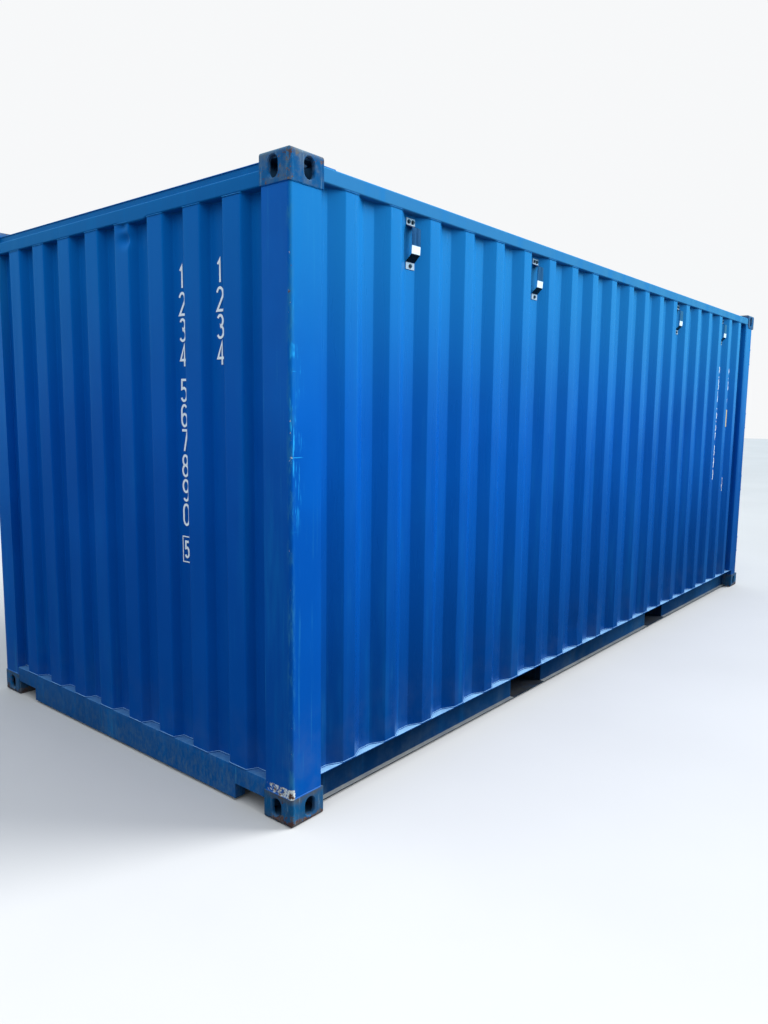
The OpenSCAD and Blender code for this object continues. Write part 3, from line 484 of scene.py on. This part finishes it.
# A folded sheet: path is its outer face as (along, depth), rows are its stations the other way
def foldedSheet(name, path, rows, place, thickness, material, nodeSlot, dent=None, skip=None):
    normals = sheetNormals(path)
    verts, index = [], {}
    for j, row in enumerate(rows):
        for i, point in enumerate(path):
            push = dent(point.x, row) if dent else 0.0
            for layer in (0, 1):
                index[i, j, layer] = len(verts)
                inner = point + normals[i] * (thickness * layer)
                verts.append(place(inner.x, inner.y + push, row))
    cells = {
        (i, j)
        for i in range(len(path) - 1)
        for j in range(len(rows) - 1)
        if not (skip and skip((path[i].x + path[i + 1].x) / 2, (rows[j] + rows[j + 1]) / 2))
    }
    faces = []
    for i, j in cells:
        corners = ((i, j), (i + 1, j), (i + 1, j + 1), (i, j + 1))
        outer = [index[a, b, 0] for a, b in corners]
        inner = [index[a, b, 1] for a, b in corners]
        faces += [outer, inner[::-1]]
        for di, dj, p, q in ((-1, 0, 0, 3), (1, 0, 1, 2), (0, -1, 0, 1), (0, 1, 3, 2)):
            if (i + di, j + dj) not in cells:  # close the sheet's edge here
                faces.append([outer[p], outer[q], inner[q], inner[p]])
    used = sorted({v for face in faces for v in face})
    renumber = {v: k for k, v in enumerate(used)}
    faces = [[renumber[v] for v in face] for face in faces]
    return makePiece(name, [verts[v] for v in used], faces, material, nodeSlot)


def weldBead(name, points, radius, material, nodeSlot, seed, sides=6):
    dice = random.Random(seed)
    verts, faces = [], []
    for k, point in enumerate(points):
        along = (points[min(k + 1, len(points) - 1)] - points[max(k - 1, 0)]).normalized()
        side = side - along * side.dot(along) if k else along.orthogonal()
        side.normalize()
        other = along.cross(side)
        size = radius * (0.86 + 0.3 * dice.random())
        for n in range(sides):
            a = 2 * math.pi * n / sides
            verts.append(point + (side * math.cos(a) + other * math.sin(a)) * size)
        if k:
            base = (k - 1) * sides
            for n in range(sides):
                m = (n + 1) % sides
                faces.append([base + n, base + m, base + sides + m, base + sides + n])
    last = (len(points) - 1) * sides
    faces.append(list(range(sides))[::-1])
    faces.append(list(range(last, last + sides)))
    return makePiece(name, verts, faces, material, nodeSlot, 60)


# Beads along the foot and the head of a folded wall
wallWeld = dict(
    lift=0.0015, footRadius=0.0032, footStep=0.009, tuck=0.001, headRadius=0.0022, headStep=0.014,
)


def weldWall(name, folded, place, edges, seeds, keep):
    spec = wallWeld
    low, high = edges[0] + spec["lift"], edges[1] - spec["tuck"]
    foot = [place(p.x, p.y - spec["lift"], low) for p in fillIn(folded, spec["footStep"])]
    weldBead("footWeld_" + name, foot, spec["footRadius"], railPaint, "frame_paint", seeds[0])
    head = [place(p.x, p.y - spec["tuck"], high) for p in fillIn(folded, spec["headStep"])]
    head = [p for p in head if keep(p)]
    weldBead("headWeld_" + name, head, spec["headRadius"], framePaint, "frame_paint", seeds[1])


# Slow waves of a wall and its dents, all held back near the edges
waviness = dict(along=3.1, up=1.3, hold=0.12, dentHold=0.01, dentReach=9)


def buckle(seed, amount, edges, dents=()):
    low, high = edges

    def held(height, reach):
        return min(1.0, (height - low) / reach, (high - height) / reach)

    def push(along, height):
        wave = noise.noise(Vector((along * waviness["along"], height * waviness["up"], seed)))
        value = amount * held(height, waviness["hold"]) * wave
        for x, z, wide, tall, deep in dents:
            r = ((along - x) / wide) ** 2 + ((height - z) / tall) ** 2
            if r < waviness["dentReach"]:
                value += deep * math.exp(-r) * held(height, waviness["dentHold"])
        return value

    return push


# Side walls; face and base are the depths of the outer and the inner folds, and a dent is its middle
# (x, z), width, height and depth
sideWall = dict(
    pitch=0.278, outer=0.072, slope=0.068, waves=20, start=-2.861, face=0.006, base=0.041, bend=0.011,
    bendSteps=4, rowStep=0.052, columnStep=0.030, buckle=0.0011, seed=3.0, weldGap=0.004,
    dents=[
        (-0.515, 0.30, 0.060, 0.075, 0.011),
        (-0.47, 0.36, 0.022, 0.03, -0.005),
        (1.62, 0.62, 0.10, 0.16, 0.004),
        (-1.9, 0.55, 0.09, 0.12, 0.0035),
    ],
)


def buildSideWall(side, sign):
    spec = sideWall
    place = partial(sidePoint, sign)
    edges = (box["railBottomTop"], box["railTopBottom"])
    first = spec["start"] + spec["pitch"] - spec["slope"] - spec["outer"] / 2
    middles = [first + k * spec["pitch"] for k in range(spec["waves"])]
    path = foldedPath(box["jambFront"], box["jambRear"], middles, spec["outer"] / 2, spec["slope"],
                      spec["base"], spec["face"])
    folded = bendCorners(path, spec["bend"], spec["bendSteps"])
    path = fillIn(folded, spec["columnStep"])
    notch = box["castingLength"] - box["halfLength"]
    if all(abs(p.x - notch) > 1e-5 for p in path):  # a fold line where the sheet is notched
        k = next(i for i, p in enumerate(path) if p.x > notch)
        t = (notch - path[k - 1].x) / (path[k].x - path[k - 1].x)
        path.insert(k, path[k - 1].lerp(path[k], t))
    rows = stations(edges[0], box["headerBottom"], spec["rowStep"]) + [edges[1]]
    dents = spec["dents"] if side == "left" else ()
    wall = foldedSheet(
        "sideWall" + side.capitalize(), path, rows, place, box["sheet"], sidePaint, "sheet_paint",
        buckle(spec["seed"] + sign, spec["buckle"], edges, dents),
        lambda x, z: x < notch and z > box["headerBottom"])
    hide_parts("side_wall_" + side)
    weldWall(side, folded, place, edges, (5 + sign, 7 + sign), lambda p: p.x > notch + spec["weldGap"])


bothSides = (("left", -1), ("right", 1))
for side, sign in bothSides:
    buildSideWall(side, sign)
print("side walls folded")

# Front wall
frontWall = dict(
    pitch=0.2535, outer=0.110, slope=0.020, waves=8, face=0.006, base=0.051, bend=0.010, bendSteps=4,
    rowStep=0.052, columnStep=0.014,
    fineFrom=2.34,  # closer rows from here up, for the dent under the header
    fineStep=0.008, weldHalf=1.05, buckle=0.0010, seed=9.0,
    dents=[
        (-0.150, 2.398, 0.040, 0.028, 0.020),
        (-0.135, 2.455, 0.030, 0.016, 0.010),
        (0.60, 0.55, 0.06, 0.2, 0.003),
        (-0.38, 0.9, 0.05, 0.2, 0.0025),
    ],
)


def buildFrontWall():
    spec = frontWall
    edges = (box["sillTop"], box["headerBottom"])
    path = foldedPath(-box["frontEdge"], box["frontEdge"], foldMiddles(spec), spec["outer"] / 2,
                      spec["slope"], spec["base"], spec["face"])
    folded = bendCorners(path, spec["bend"], spec["bendSteps"])
    rows = stations(edges[0], spec["fineFrom"], spec["rowStep"])
    rows += stations(spec["fineFrom"], edges[1], spec["fineStep"])[1:]
    wall = foldedSheet(
        "frontWallSheet", fillIn(folded, spec["columnStep"]), rows, frontPoint, box["sheet"], frontPaint,
        "sheet_paint", buckle(spec["seed"], spec["buckle"], edges, spec["dents"]))
    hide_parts("front_wall")
    weldWall("front", folded, frontPoint, edges, (21, 22), lambda p: abs(p.y) < spec["weldHalf"])


buildFrontWall()
print("front wall folded")

# Painted digits, plain numbers only
digitStyle = dict(
    stroke=0.0105, proud=0.0016, film=0.0004, plain={"tall": 0.100, "wide": 0.048, "lead": 0},
    boxed={"tall": 0.080, "wide": 0.036, "lead": 0.017}, boxTall=0.113, boxWide=0.058, boxLine=0.005,
    corner=2.2,  # most that a stroke may widen at a sharp corner
)


def arc(cx, cy, rx, ry, start, end, steps=14):
    turn = [math.radians(start + (end - start) * k / steps) for k in range(steps + 1)]
    return [(cx + rx * math.cos(a), cy + ry * math.sin(a)) for a in turn]


def digitStrokes(digit):
    six = arc(0.5, 0.70, 0.5, 0.30, 40, 180) + arc(0.5, 0.29, 0.5, 0.29, 180, 540, 24)
    return {
        "0": [arc(0.5, 0.70, 0.5, 0.30, 0, 180) + arc(0.5, 0.30, 0.5, 0.30, 180, 360) + [(1.0, 0.70)]],
        "1": [[(0.2, 0.80), (0.55, 1.0), (0.55, 0.0)]],
        "2": [arc(0.5, 0.73, 0.5, 0.27, 165, -30) + [(0.0, 0.0), (1.0, 0.0)]],
        "3": [arc(0.47, 0.76, 0.45, 0.24, 150, -90) + arc(0.47, 0.26, 0.53, 0.26, 90, -150)],
        "4": [[(0.72, 0.0), (0.72, 1.0), (0.0, 0.30), (1.0, 0.30)]],
        "5": [[(0.92, 1.0), (0.14, 1.0), (0.10, 0.57)] + arc(0.47, 0.31, 0.53, 0.31, 118, -150)],
        "6": [six],
        "7": [[(0.0, 1.0), (1.0, 1.0), (0.38, 0.0)]],
        "8": [arc(0.5, 0.76, 0.43, 0.24, -90, 270, 22), arc(0.5, 0.26, 0.5, 0.26, 90, 450, 24)],
        "9": [[(1 - x, 1 - y) for x, y in six]],
    }[digit]


# Both edges of a stroke of this width along the points
def ribbon(points, width):
    points = [Vector(p) for p in points]
    left, right = [], []
    for i, here in enumerate(points):
        before = (here - points[i - 1]).normalized() if i else None
        after = (points[i + 1] - here).normalized() if i < len(points) - 1 else None
        along = ((before or after) + (after or before)).normalized()
        across = Vector((-along.y, along.x))
        stretch = 1.0
        if before and after:
            lean = across.dot(Vector((-after.y, after.x)))
            stretch = min(digitStyle["corner"], 1 / max(0.3, lean))
        left.append(here + across * width / 2 * stretch)
        right.append(here - across * width / 2 * stretch)
    return left, right


def paintDigits(name, column, surface):
    verts, faces = [], []

    def lay(stroke, x0, z0, wide, tall, width):
        left, right = ribbon([(x0 + x * wide, z0 + z * tall) for x, z in stroke], width)
        base = len(verts)
        verts.extend(surface(p.x, p.y) for pair in zip(left, right) for p in pair)
        corners = range(base, base + 2 * len(left) - 2, 2)
        faces.extend([a, a + 1, a + 3, a + 2] for a in corners)

    pen = digitStyle["stroke"]
    for digit, middle, top, kind in column:
        size = digitStyle[kind]
        foot = top - size["lead"] - size["tall"]
        for stroke in digitStrokes(digit):
            lay(stroke, middle - size["wide"] / 2 + pen / 2, foot + pen / 2, size["wide"] - pen,
                size["tall"] - pen, pen)
        if kind == "boxed":
            wide, tall = digitStyle["boxWide"], digitStyle["boxTall"]
            outline = [(0, 0.5), (0, 0), (1, 0), (1, 1), (0, 1), (0, 0.5)]
            lay(outline, middle - wide / 2, top - tall, wide, tall, digitStyle["boxLine"])
    piece = makePiece(name, verts, faces, digitWhiteSkyTinted, "sheet_paint", 180)
    thicken = piece.modifiers.new("paintFilm", "SOLIDIFY")
    thicken.thickness = digitStyle["film"]
    thicken.offset = 0


def digitDepth(spec, seed, edges, along, z):
    push = buckle(seed, spec["buckle"], edges, spec["dents"])(along, z)
    return spec["base"] + push - digitStyle["proud"]


def frontSurface(across, z):
    edges = (box["sillTop"], box["headerBottom"])
    return frontPoint(-across, digitDepth(frontWall, frontWall["seed"], edges, -across, z), z)


def sideSurface(along, z):
    edges = (box["railBottomTop"], box["railTopBottom"])
    return sidePoint(-1, along, digitDepth(sideWall, sideWall["seed"] - 1, edges, along, z), z)


# Tops of the digits of a column on the front end, and for each column its name, surface, middle, drop
# below those tops, digits and the top of its boxed digit
digitTops = (2.258, 2.147, 2.038, 1.930, 1.783, 1.675, 1.567, 1.458, 1.350, 1.242)
digitColumns = [
    ("frontDigitsLong", frontSurface, 0.507, 0, "1234567890", 1.094),
    ("frontDigitsShort", frontSurface, 0.7605, 0, "1234", None),
    ("sideDigitsLong", sideSurface, 2.178, 0.06, "1234567890", None),
    ("sideDigitsShort", sideSurface, 2.456, 0.06, "1234", 1.085),
]
for name, surface, middle, drop, digits, boxTop in digitColumns:
    column = [(digit, middle, top - drop, "plain") for digit, top in zip(digits, digitTops)]
    if boxTop:
        column.append(("5", middle, boxTop, "boxed"))
    paintDigits(name, column, surface)
print("plain digits painted")

# Bolts: the (radius, rise) rings of a washer and of the hexagonal head on it
boltShape = dict(
    washer=[(0.0095, 0), (0.0095, 0.0012), (0.008835, 0.0018)],
    head=[(0.0072, 0), (0.0072, 0.004), (0.006192, 0.005)],
)


# A turned shape, its rings given from the seat upwards; both ends are closed
def discMesh(verts, faces, middle, axis, rings, sides, start=0.0):
    axis = axis.normalized()
    side = axis.orthogonal().normalized()
    other = axis.cross(side)
    base = len(verts)
    for radius, rise in rings:
        for k in range(sides):
            a = start + 2 * math.pi * k / sides
            verts.append(middle + axis * rise + (side * math.cos(a) + other * math.sin(a)) * radius)
    for j in range(len(rings) - 1):
        low = base + j * sides
        for k in range(sides):
            m = (k + 1) % sides
            faces.append([low + k, low + m, low + sides + m, low + sides + k])
    last = base + (len(rings) - 1) * sides
    faces.append(list(range(base, base + sides))[::-1])
    faces.append(list(range(last, last + sides)))


def hexBolt(verts, faces, middle, axis, turn):
    discMesh(verts, faces, middle, axis, boltShape["washer"], 20)
    seat = middle + axis * boltShape["washer"][-1][1]
    discMesh(verts, faces, seat, axis, boltShape["head"], 6, turn)


# Lashing straps; profile is (height, depth), bolts are (offset along, height)
lashingStrap = dict(
    recesses=(2, 6, 14, 18),
    fromStart=0.035,  # middle of a recess from where its wave starts
    width=0.060, thick=0.003, bend=0.006, step=0.012, seat=0.038,
    profile=[(2.270, 0.038), (2.300, 0.038), (2.330, 0.007), (2.364, 0.005), (2.440, 0.005),
             (2.456, 0.038), (2.486, 0.038)],
    bolts=[(-0.014, 2.471), (0.014, 2.471), (0.0, 2.285)], edge=0.0008,
)


def buildStraps(side, sign):
    spec = lashingStrap
    profile = fillIn(bendCorners(spec["profile"], spec["bend"], 4), spec["step"])
    straps, verts, faces = [], [], []
    dice = random.Random(11 + sign)
    for k in spec["recesses"]:
        middle = sideWall["start"] + spec["fromStart"] + k * sideWall["pitch"]
        rows = stations(middle - spec["width"] / 2, middle + spec["width"] / 2, spec["step"])
        strap = foldedSheet(
            "strap_%s_%02d" % (side, k), profile, rows, lambda z, d, x: sidePoint(sign, x, d, z),
            spec["thick"], strapSteel, "bright_steel")
        soften = strap.modifiers.new("rolledEdge", "BEVEL")
        soften.width = spec["edge"]
        soften.segments = 2
        soften.angle_limit = math.radians(50)
        straps.append(strap)
        for dx, z in spec["bolts"]:
            seat = sidePoint(sign, middle + dx, spec["seat"], z)
            hexBolt(verts, faces, seat, Vector((0, sign, 0)), dice.random())
    for strap in straps:
        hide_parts("strap_brackets_" + side)
    makePiece("strapBolts_" + side, verts, faces, boltSteel, "bright_steel", 30)


for side, sign in bothSides:
    buildStraps(side, sign)
print("lashing straps bolted on")

# Blank plate near the door end of the left side
blankPlate = dict(middle=(2.470, 1.633), size=(0.112, 0.155), depth=0.0395, thick=0.0012, corner=0.006)


def buildPlate(spec):
    c = spec["corner"]
    w, h = (size / 2 - c for size in spec["size"])
    outline = []
    for sx, sz, quarter in ((1, 1, 0), (-1, 1, 90), (-1, -1, 180), (1, -1, 270)):
        for a in range(5):
            turn = math.radians(quarter + a * 22.5)
            outline.append((sx * w + c * math.cos(turn), sz * h + c * math.sin(turn)))
    verts = [sidePoint(-1, spec["middle"][0] + x, spec["depth"] + inwards, spec["middle"][1] + z)
             for inwards in (0, spec["thick"]) for x, z in outline]
    n = len(outline)
    faces = [list(range(n)), list(range(n, 2 * n))[::-1]]
    faces += [[k, (k + 1) % n, n + (k + 1) % n, n + k] for k in range(n)]
    makePiece("blankPlate", verts, faces, plateYellow, "sheet_paint", 30)


buildPlate(blankPlate)
print("blank plate fixed")

# Weld seams of the posts: round the castings and up both sheets
postSeam = dict(
    bead=0.0028, sheetBead=0.0026, step=0.009, round=0.014, past=0.002, tuck=0.001, end=0.01)


def buildPostSeams(spec):
    front, out, tuck = box["setback"] - box["halfLength"], box["halfWidth"] - box["setback"], spec["tuck"]
    r = spec["round"]
    run = [(box["jambFront"] - spec["past"], out)]
    for a in range(0, 91, 15):
        turn = math.radians(a)
        run.append((front + r - r * math.sin(turn), out - r + r * math.cos(turn)))
    run.append((front, box["frontEdge"] + spec["past"]))
    path = fillIn([Vector(p) for p in run], spec["step"])
    rise = stations(box["railBottomTop"] + spec["end"], box["headBottom"] - spec["end"], spec["step"])
    sideY = box["halfWidth"] - sideWall["base"] + tuck
    frontX = frontWall["base"] - box["halfLength"] - tuck
    for side, sign in bothSides:
        for level, z in (("foot", box["castingHeight"] + tuck), ("head", box["headBottom"] - tuck)):
            line = [Vector((p.x, sign * p.y, z)) for p in path]
            weldBead("postSeam_%s_%s" % (side, level), line, spec["bead"], postPaint, "frame_paint",
                     31 + sign)
        for name, x, y, seed in (("sideSeam_", box["jambFront"] + tuck, sideY, 41),
                                 ("rearSeam_", box["jambRear"] - tuck, sideY, 43),
                                 ("frontSeam_", frontX, box["frontEdge"] - tuck, 45)):
            line = [Vector((x, sign * y, z)) for z in rise]
            weldBead(name + side, line, spec["sheetBead"], sheetPaint, "sheet_paint", seed + sign)


buildPostSeams(postSeam)
print("seams welded")

# Roof sheet with ridges that taper off at both ends
roofSheet = dict(
    half=2.775, edge=1.195, inset=0.070, ridge=0.091, slope=0.0175, round=0.003, rise=0.020, pitch=0.209,
    waves=25, taper=0.030, taperSteps=5, across=0.12, buckle=0.0012, nearFold=0.004,
)


def ease(t):
    t = min(1, max(0, t))
    return t * t * (3 - 2 * t)


def buildRoof(spec):
    foot = spec["ridge"] / 2 + spec["slope"]
    marks = {-spec["half"], spec["half"]}
    for c in foldMiddles(spec):
        folds = [c + s * w for s in (-1, 1) for w in (spec["ridge"] / 2, foot)]
        marks |= {round(x + d * spec["nearFold"], 5) for x in folds for d in (-1, 0, 1)}
        marks |= {round(c, 5), round(c + spec["pitch"] / 2, 5)}
    xs = sorted(x for x in marks if abs(x) <= spec["half"])
    flat = spec["edge"] - spec["inset"]
    ends = stations(flat - spec["taper"], flat, spec["taper"] / spec["taperSteps"])
    middle = stations(-ends[0], ends[0], spec["across"])
    ys = sorted({-spec["edge"], spec["edge"]} | set(middle) | set(ends) | {-e for e in ends})

    def rise(x, y):
        c = x / spec["pitch"] + (spec["waves"] - 1) / 2
        off = abs(c - round(c)) * spec["pitch"] if -0.5 < c < spec["waves"] - 0.5 else 1
        ridge = ease((foot + spec["round"] - off) / (spec["slope"] + 2 * spec["round"]))
        inwards = min(1, max(0, (flat - abs(y)) / spec["taper"]))
        wave = spec["buckle"] * noise.noise(Vector((x * 2.3, y * 1.7, 5.0))) * min(1, inwards * 2)
        return spec["rise"] * ridge * ease(inwards) + (abs(wave) if inwards else 0)

    wide, count = len(ys), len(xs) * len(ys)
    verts = [Vector((x, y, box["railTopTop"] + rise(x, y) + up))
             for up in (0, box["sheet"]) for x in xs for y in ys]
    faces = []
    for i in range(len(xs) - 1):
        for a in range(i * wide, i * wide + wide - 1):
            faces.append([a, a + 1, a + wide + 1, a + wide])
            faces.append([count + a, count + a + wide, count + a + wide + 1, count + a + 1])
    rim = list(range(wide)) + list(range(2 * wide - 1, count, wide))
    rim += list(range(count - 2, count - wide - 1, -1)) + list(range(count - 2 * wide, 0, -wide))
    for a, b in zip(rim, rim[1:] + rim[:1]):
        faces.append([a, b, count + b, count + a])
    sheet = makePiece("roofSheet", verts, faces, roofPaint, "sheet_paint", 40)
    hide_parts("roof_sheet")


buildRoof(roofSheet)
print("roof pressed")

# Door panels with rounded folds
doorPanel = dict(
    face=2.974, sill=0.181, top=2.443, channel=0.150, stile=0.100, gap=0.009, edge=1.164, trough=0.072,
    depth=0.035, pitch=0.380, waves=5, set=0.003, bend=0.010, heightStep=0.05, acrossStep=0.06,
    holdEnds=0.08, holdSides=0.06, buckle=0.0010, tuck=0.001, seamStep=0.012, seam=0.0022,
)


def buildDoorPanel(side, sign):
    spec = doorPanel
    low, high = spec["sill"] + spec["channel"], spec["top"] - spec["channel"]
    near, far = spec["gap"] + spec["stile"], spec["edge"] - spec["stile"]
    middles = foldMiddles(spec, (spec["sill"] + spec["top"]) / 2)
    path = foldedPath(low, high, middles, spec["trough"] / 2, spec["depth"], spec["set"],
                      spec["set"] + spec["depth"])

    def place(z, depth, y):
        return Vector((spec["face"] - depth, sign * y, z))

    def wave(z, y):
        held = min(1, min(z - low, high - z) / spec["holdEnds"], min(y - near, far - y) / spec["holdSides"])
        return spec["buckle"] * noise.noise(Vector((z * 2.2, y * 3.0, 7.0 + sign))) * held

    face = fillIn(bendCorners(path, spec["bend"], 4), spec["heightStep"])
    panel = foldedSheet(
        "doorPanel" + side.capitalize(), face, stations(near, far, spec["acrossStep"]), place, box["sheet"],
        sheetPaint, "sheet_paint", wave)
    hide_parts("door_panel_" + side)
    seam = fillIn(bendCorners(path, spec["bend"], 3), spec["seamStep"])
    for edge, y in (("Inner", near + spec["tuck"]), ("Outer", far - spec["tuck"])):
        line = [place(p.x, p.y - spec["tuck"], y) for p in seam]
        weldBead("doorSeam%s_%s" % (edge, side), line, spec["seam"], framePaint, "frame_paint", 61 + sign)


for side, sign in bothSides:
    buildDoorPanel(side, sign)
print("door panels folded")

# Bolts of the hinge blades, rod guides and handle catches, and the pins of the handles; a group has the
# depth of its seat, its middles (y, z) and how far its four bolts lie from each middle
doorBolts = dict(
    groups=[
        (2.984, [(1.098, z) for z in (0.411, 1.0117, 1.6123, 2.213)], (0.022, 0.038), "byColumn"),
        (2.980, [(y, z) for y in (0.235, 0.905) for z in (0.241, 0.7601, 1.7508, 2.383)],
         (0.041, 0.018), "byColumn"),
        (2.980, [(0.605, 1.290), (0.535, 1.130)], (0.020, 0.039), "byRow"),
    ],
    pins=[(0.235, 1.290), (0.905, 1.130)], pinDepth=3.0185,
    pinRings=[(0.0055, 0), (0.0055, 0.0022), (0.0033, 0.0034)], hub=0.026,
)
fourCorners = dict(
    byColumn=((-1, -1), (-1, 1), (1, -1), (1, 1)), byRow=((-1, -1), (1, -1), (-1, 1), (1, 1)))


def boltDoors(spec):
    dice = random.Random(29)
    for side, sign in bothSides:
        verts, faces = [], []
        for depth, middles, (dy, dz), order in spec["groups"]:
            for y, z in middles:
                for sy, sz in fourCorners[order]:
                    place = Vector((depth, sign * (y + sy * dy), z + sz * dz))
                    hexBolt(verts, faces, place, Vector((1, 0, 0)), dice.random())
        for y, z in spec["pins"]:
            for up in (-1, 1):
                place = Vector((spec["pinDepth"], sign * y, z + up * spec["hub"]))
                discMesh(verts, faces, place, Vector((0, 0, up)), spec["pinRings"], 16)
        makePiece("doorBolts_" + side, verts, faces, zincSteel, "galvanised_steel", 30)


boltDoors(doorBolts)
print("door gear bolted on")

# Finishes for the nodes that show as they were built; all others have the frame's paint
finishOf = {
    "casting_bottom": castingPaint, "casting_top": headPaint, "front_post": postPaint,
    "front_header": headerPaint, "front_sill": sillPaint, "door_sill": sillPaint,
    "door_threshold": sillPaint, "top_rail": topPaint, "bottom_rail_webs": shadedWebPaint,
    "bottom_rail": railPaint, "side_wall": sheetPaint, "front_wall": sheetPaint, "roof": sheetPaint,
    "door_panel": sheetPaint, "floor_boards": floorPly, "cross_members": underCoat,
    "fork_pocket": shadedPocketPaint, "door_seal": sealRubber, "lock_rods": zincSteel,
    "strap_brackets": strapSteel,
}
for nodeName, piece in cadNodes.items():
    finish = next((m for key, m in finishOf.items() if nodeName.startswith(key)), framePaint)
    for materialSlot in piece.material_slots:
        materialSlot.material = finish
print("carried-over nodes painted")

# Copies with rolled edges for the nodes made of plates, tubes and bars: name start and edge width
rolledEdges = {
    "front_sill": 0.0015, "bottom_rail": 0.0012, "door_header": 0.004, "door_lintel": 0.002,
    "door_sill": 0.004, "door_threshold": 0.003, "door_frame": 0.004, "door_seal": 0.003, "hinges": 0.0015,
    "rod_brackets": 0.002, "cam_keepers": 0.003, "lock_rods": 0.0015, "fork_pocket": 0.0015,
    "roof_end_plates": 0.0015, "rear_post": 0.0015, "floor_boards": 0.0012, "cross_members": 0.0015,
}
slotOf = {  # the others are in frame_paint
    "door_seal": "seal_rubber",
    "lock_rods": "galvanised_steel",
    "floor_boards": "floor_wood",
    "cross_members": "underside_steel",
}


def openNode(nodeName):
    source = cadNodes[nodeName]
    work = bmesh.new()
    work.from_mesh(source.data)
    work.transform(source.matrix_world)
    bmesh.ops.remove_doubles(work, verts=work.verts, dist=1e-5)
    return work


def closeCopy(work, name, material, nodeSlot):
    mesh = bpy.data.meshes.new(name)
    work.to_mesh(mesh)
    work.free()
    return addPiece(name, mesh, material, nodeSlot)


def rollEdges(nodeName, width, nodeSlot):
    work = openNode(nodeName)
    bmesh.ops.dissolve_limit(work, angle_limit=math.radians(0.6), verts=work.verts, edges=work.edges)
    bmesh.ops.recalc_face_normals(work, faces=work.faces)
    finish = cadNodes[nodeName].material_slots[0].material
    piece = closeCopy(work, nodeName + ".rolled", finish, nodeSlot)
    for face in piece.data.polygons:
        face.use_smooth = True
    roll = piece.modifiers.new("rolledEdge", "BEVEL")
    roll.width = width
    roll.segments = 2
    roll.limit_method = "ANGLE"
    roll.angle_limit = math.radians(35)
    roll.harden_normals = True
    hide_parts(nodeName)


for start, width in rolledEdges.items():
    for nodeName in [n for n in cadNodes if n.startswith(start)]:
        rollEdges(nodeName, width, slotOf.get(start, "frame_paint"))
print("edges rolled")

# The front header's lower edge is knocked down over one ridge of the front wall
headerKnock = dict(
    start=-0.300, end=-0.130, soft=0.030, drop=0.009, reach=0.030, cuts=17, cutStep=0.015, levels=3,
)


def knockHeader(spec):
    bottom = box["headerBottom"]
    work = openNode("front_header")
    first = spec["start"] - spec["soft"]
    cuts = [((0, first + k * spec["cutStep"], 0), (0, 1, 0)) for k in range(spec["cuts"])]
    levels = [bottom + spec["reach"] * k / spec["levels"] for k in range(1, spec["levels"] + 1)]
    cuts += [((0, 0, z), (0, 0, 1)) for z in levels]
    for place, normal in cuts:
        bmesh.ops.bisect_plane(work, geom=work.verts[:] + work.edges[:] + work.faces[:], dist=1e-5,
                               plane_co=place, plane_no=normal)
    for vert in work.verts:
        held = min(vert.co.y - spec["start"], spec["end"] - vert.co.y) / spec["soft"] + 1
        down = min(1, 1 - (vert.co.z - bottom) / spec["reach"])
        vert.co.z -= spec["drop"] * ease(held) * max(0, down)
    piece = closeCopy(work, "front_header.knocked", headerPaint, "frame_paint")
    shadeByAngle(piece.data, 32)
    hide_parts("front_header")


knockHeader(headerKnock)
print("front header knocked")

# Yard floor, sky and lamps
studio = dict(
    floorHalf=60, floor=(0.50, 0.505, 0.51), floorDip=0.95, floorBounce=(0.115, 0.135, 0.15),
    mirroredFloor=(0.012, 0.065, 0.115), floorRough=0.85, floorShine=0.2, sky=(0.74, 0.79, 0.84),
    mirroredSky=(0.24, 0.95, 1.42), backdrop=(0.93, 0.94, 0.95),
    lamps=[  # name, kind, place, aim, size in metres or degrees, power
        ("overheadPanel", "AREA", (-3.5, -2.0, 8.5), (0, 0, 0.8), 11, 600),
        ("keyLamp", "SUN", (9.3, -6.9, 6.7), (0, 0, 0), 33, 5.1),
    ],
)


# One tone for the eye, one for what is mirrored and one for the light thrown back
def byRay(mix, seen, mirrored, thrown):
    ray = mix.add("LightPath")
    unseen = mix.blend(ray.outputs["Is Glossy Ray"], thrown, mirrored)
    return mix.blend(ray.outputs["Is Camera Ray"], unseen, seen)


def buildFloor(spec):
    mesh = bpy.data.meshes.new("yardFloor")
    r = spec["floorHalf"]
    mesh.from_pydata([(-r, -r, 0), (r, -r, 0), (r, r, 0), (-r, r, 0)], [], [(0, 1, 2, 3)])
    floor = addObject("yardFloor", mesh)
    mix = newFinish("paleFloor")
    shade = mix.spread(mix.cloud(0.5, 4), 0.3, 0.7)
    tone = mix.blend(shade, spec["floor"], tuple(c * spec["floorDip"] for c in spec["floor"]))
    tone = byRay(mix, tone, spec["mirroredFloor"], spec["floorBounce"])
    shine = {"Roughness": spec["floorRough"], "Specular IOR Level": spec["floorShine"]}
    mix.feed(mix.shader, {"Base Color": tone, **shine})
    mesh.materials.append(mix.material)


def lightStudio(spec):
    world = bpy.data.worlds.new("paleSky")
    scene.world = world
    world.use_nodes = True
    mix = Mixer(world.node_tree)
    glow = mix.add("Background", {0: byRay(mix, spec["backdrop"], spec["mirroredSky"], spec["sky"])})
    mix.add("OutputWorld", {0: glow.outputs[0]})
    for name, kind, place, aim, size, power in spec["lamps"]:
        lamp = bpy.data.lights.new(name, kind)
        if kind == "SUN":
            lamp.angle = math.radians(size)
        else:
            lamp.size = size
        lamp.energy = power
        holder = addObject(name, lamp)
        holder.location = place
        holder.rotation_euler = (Vector(aim) - Vector(place)).to_track_quat("-Z", "Y").to_euler()
        holder.visible_glossy = False


buildFloor(studio)
lightStudio(studio)
print("studio lit")
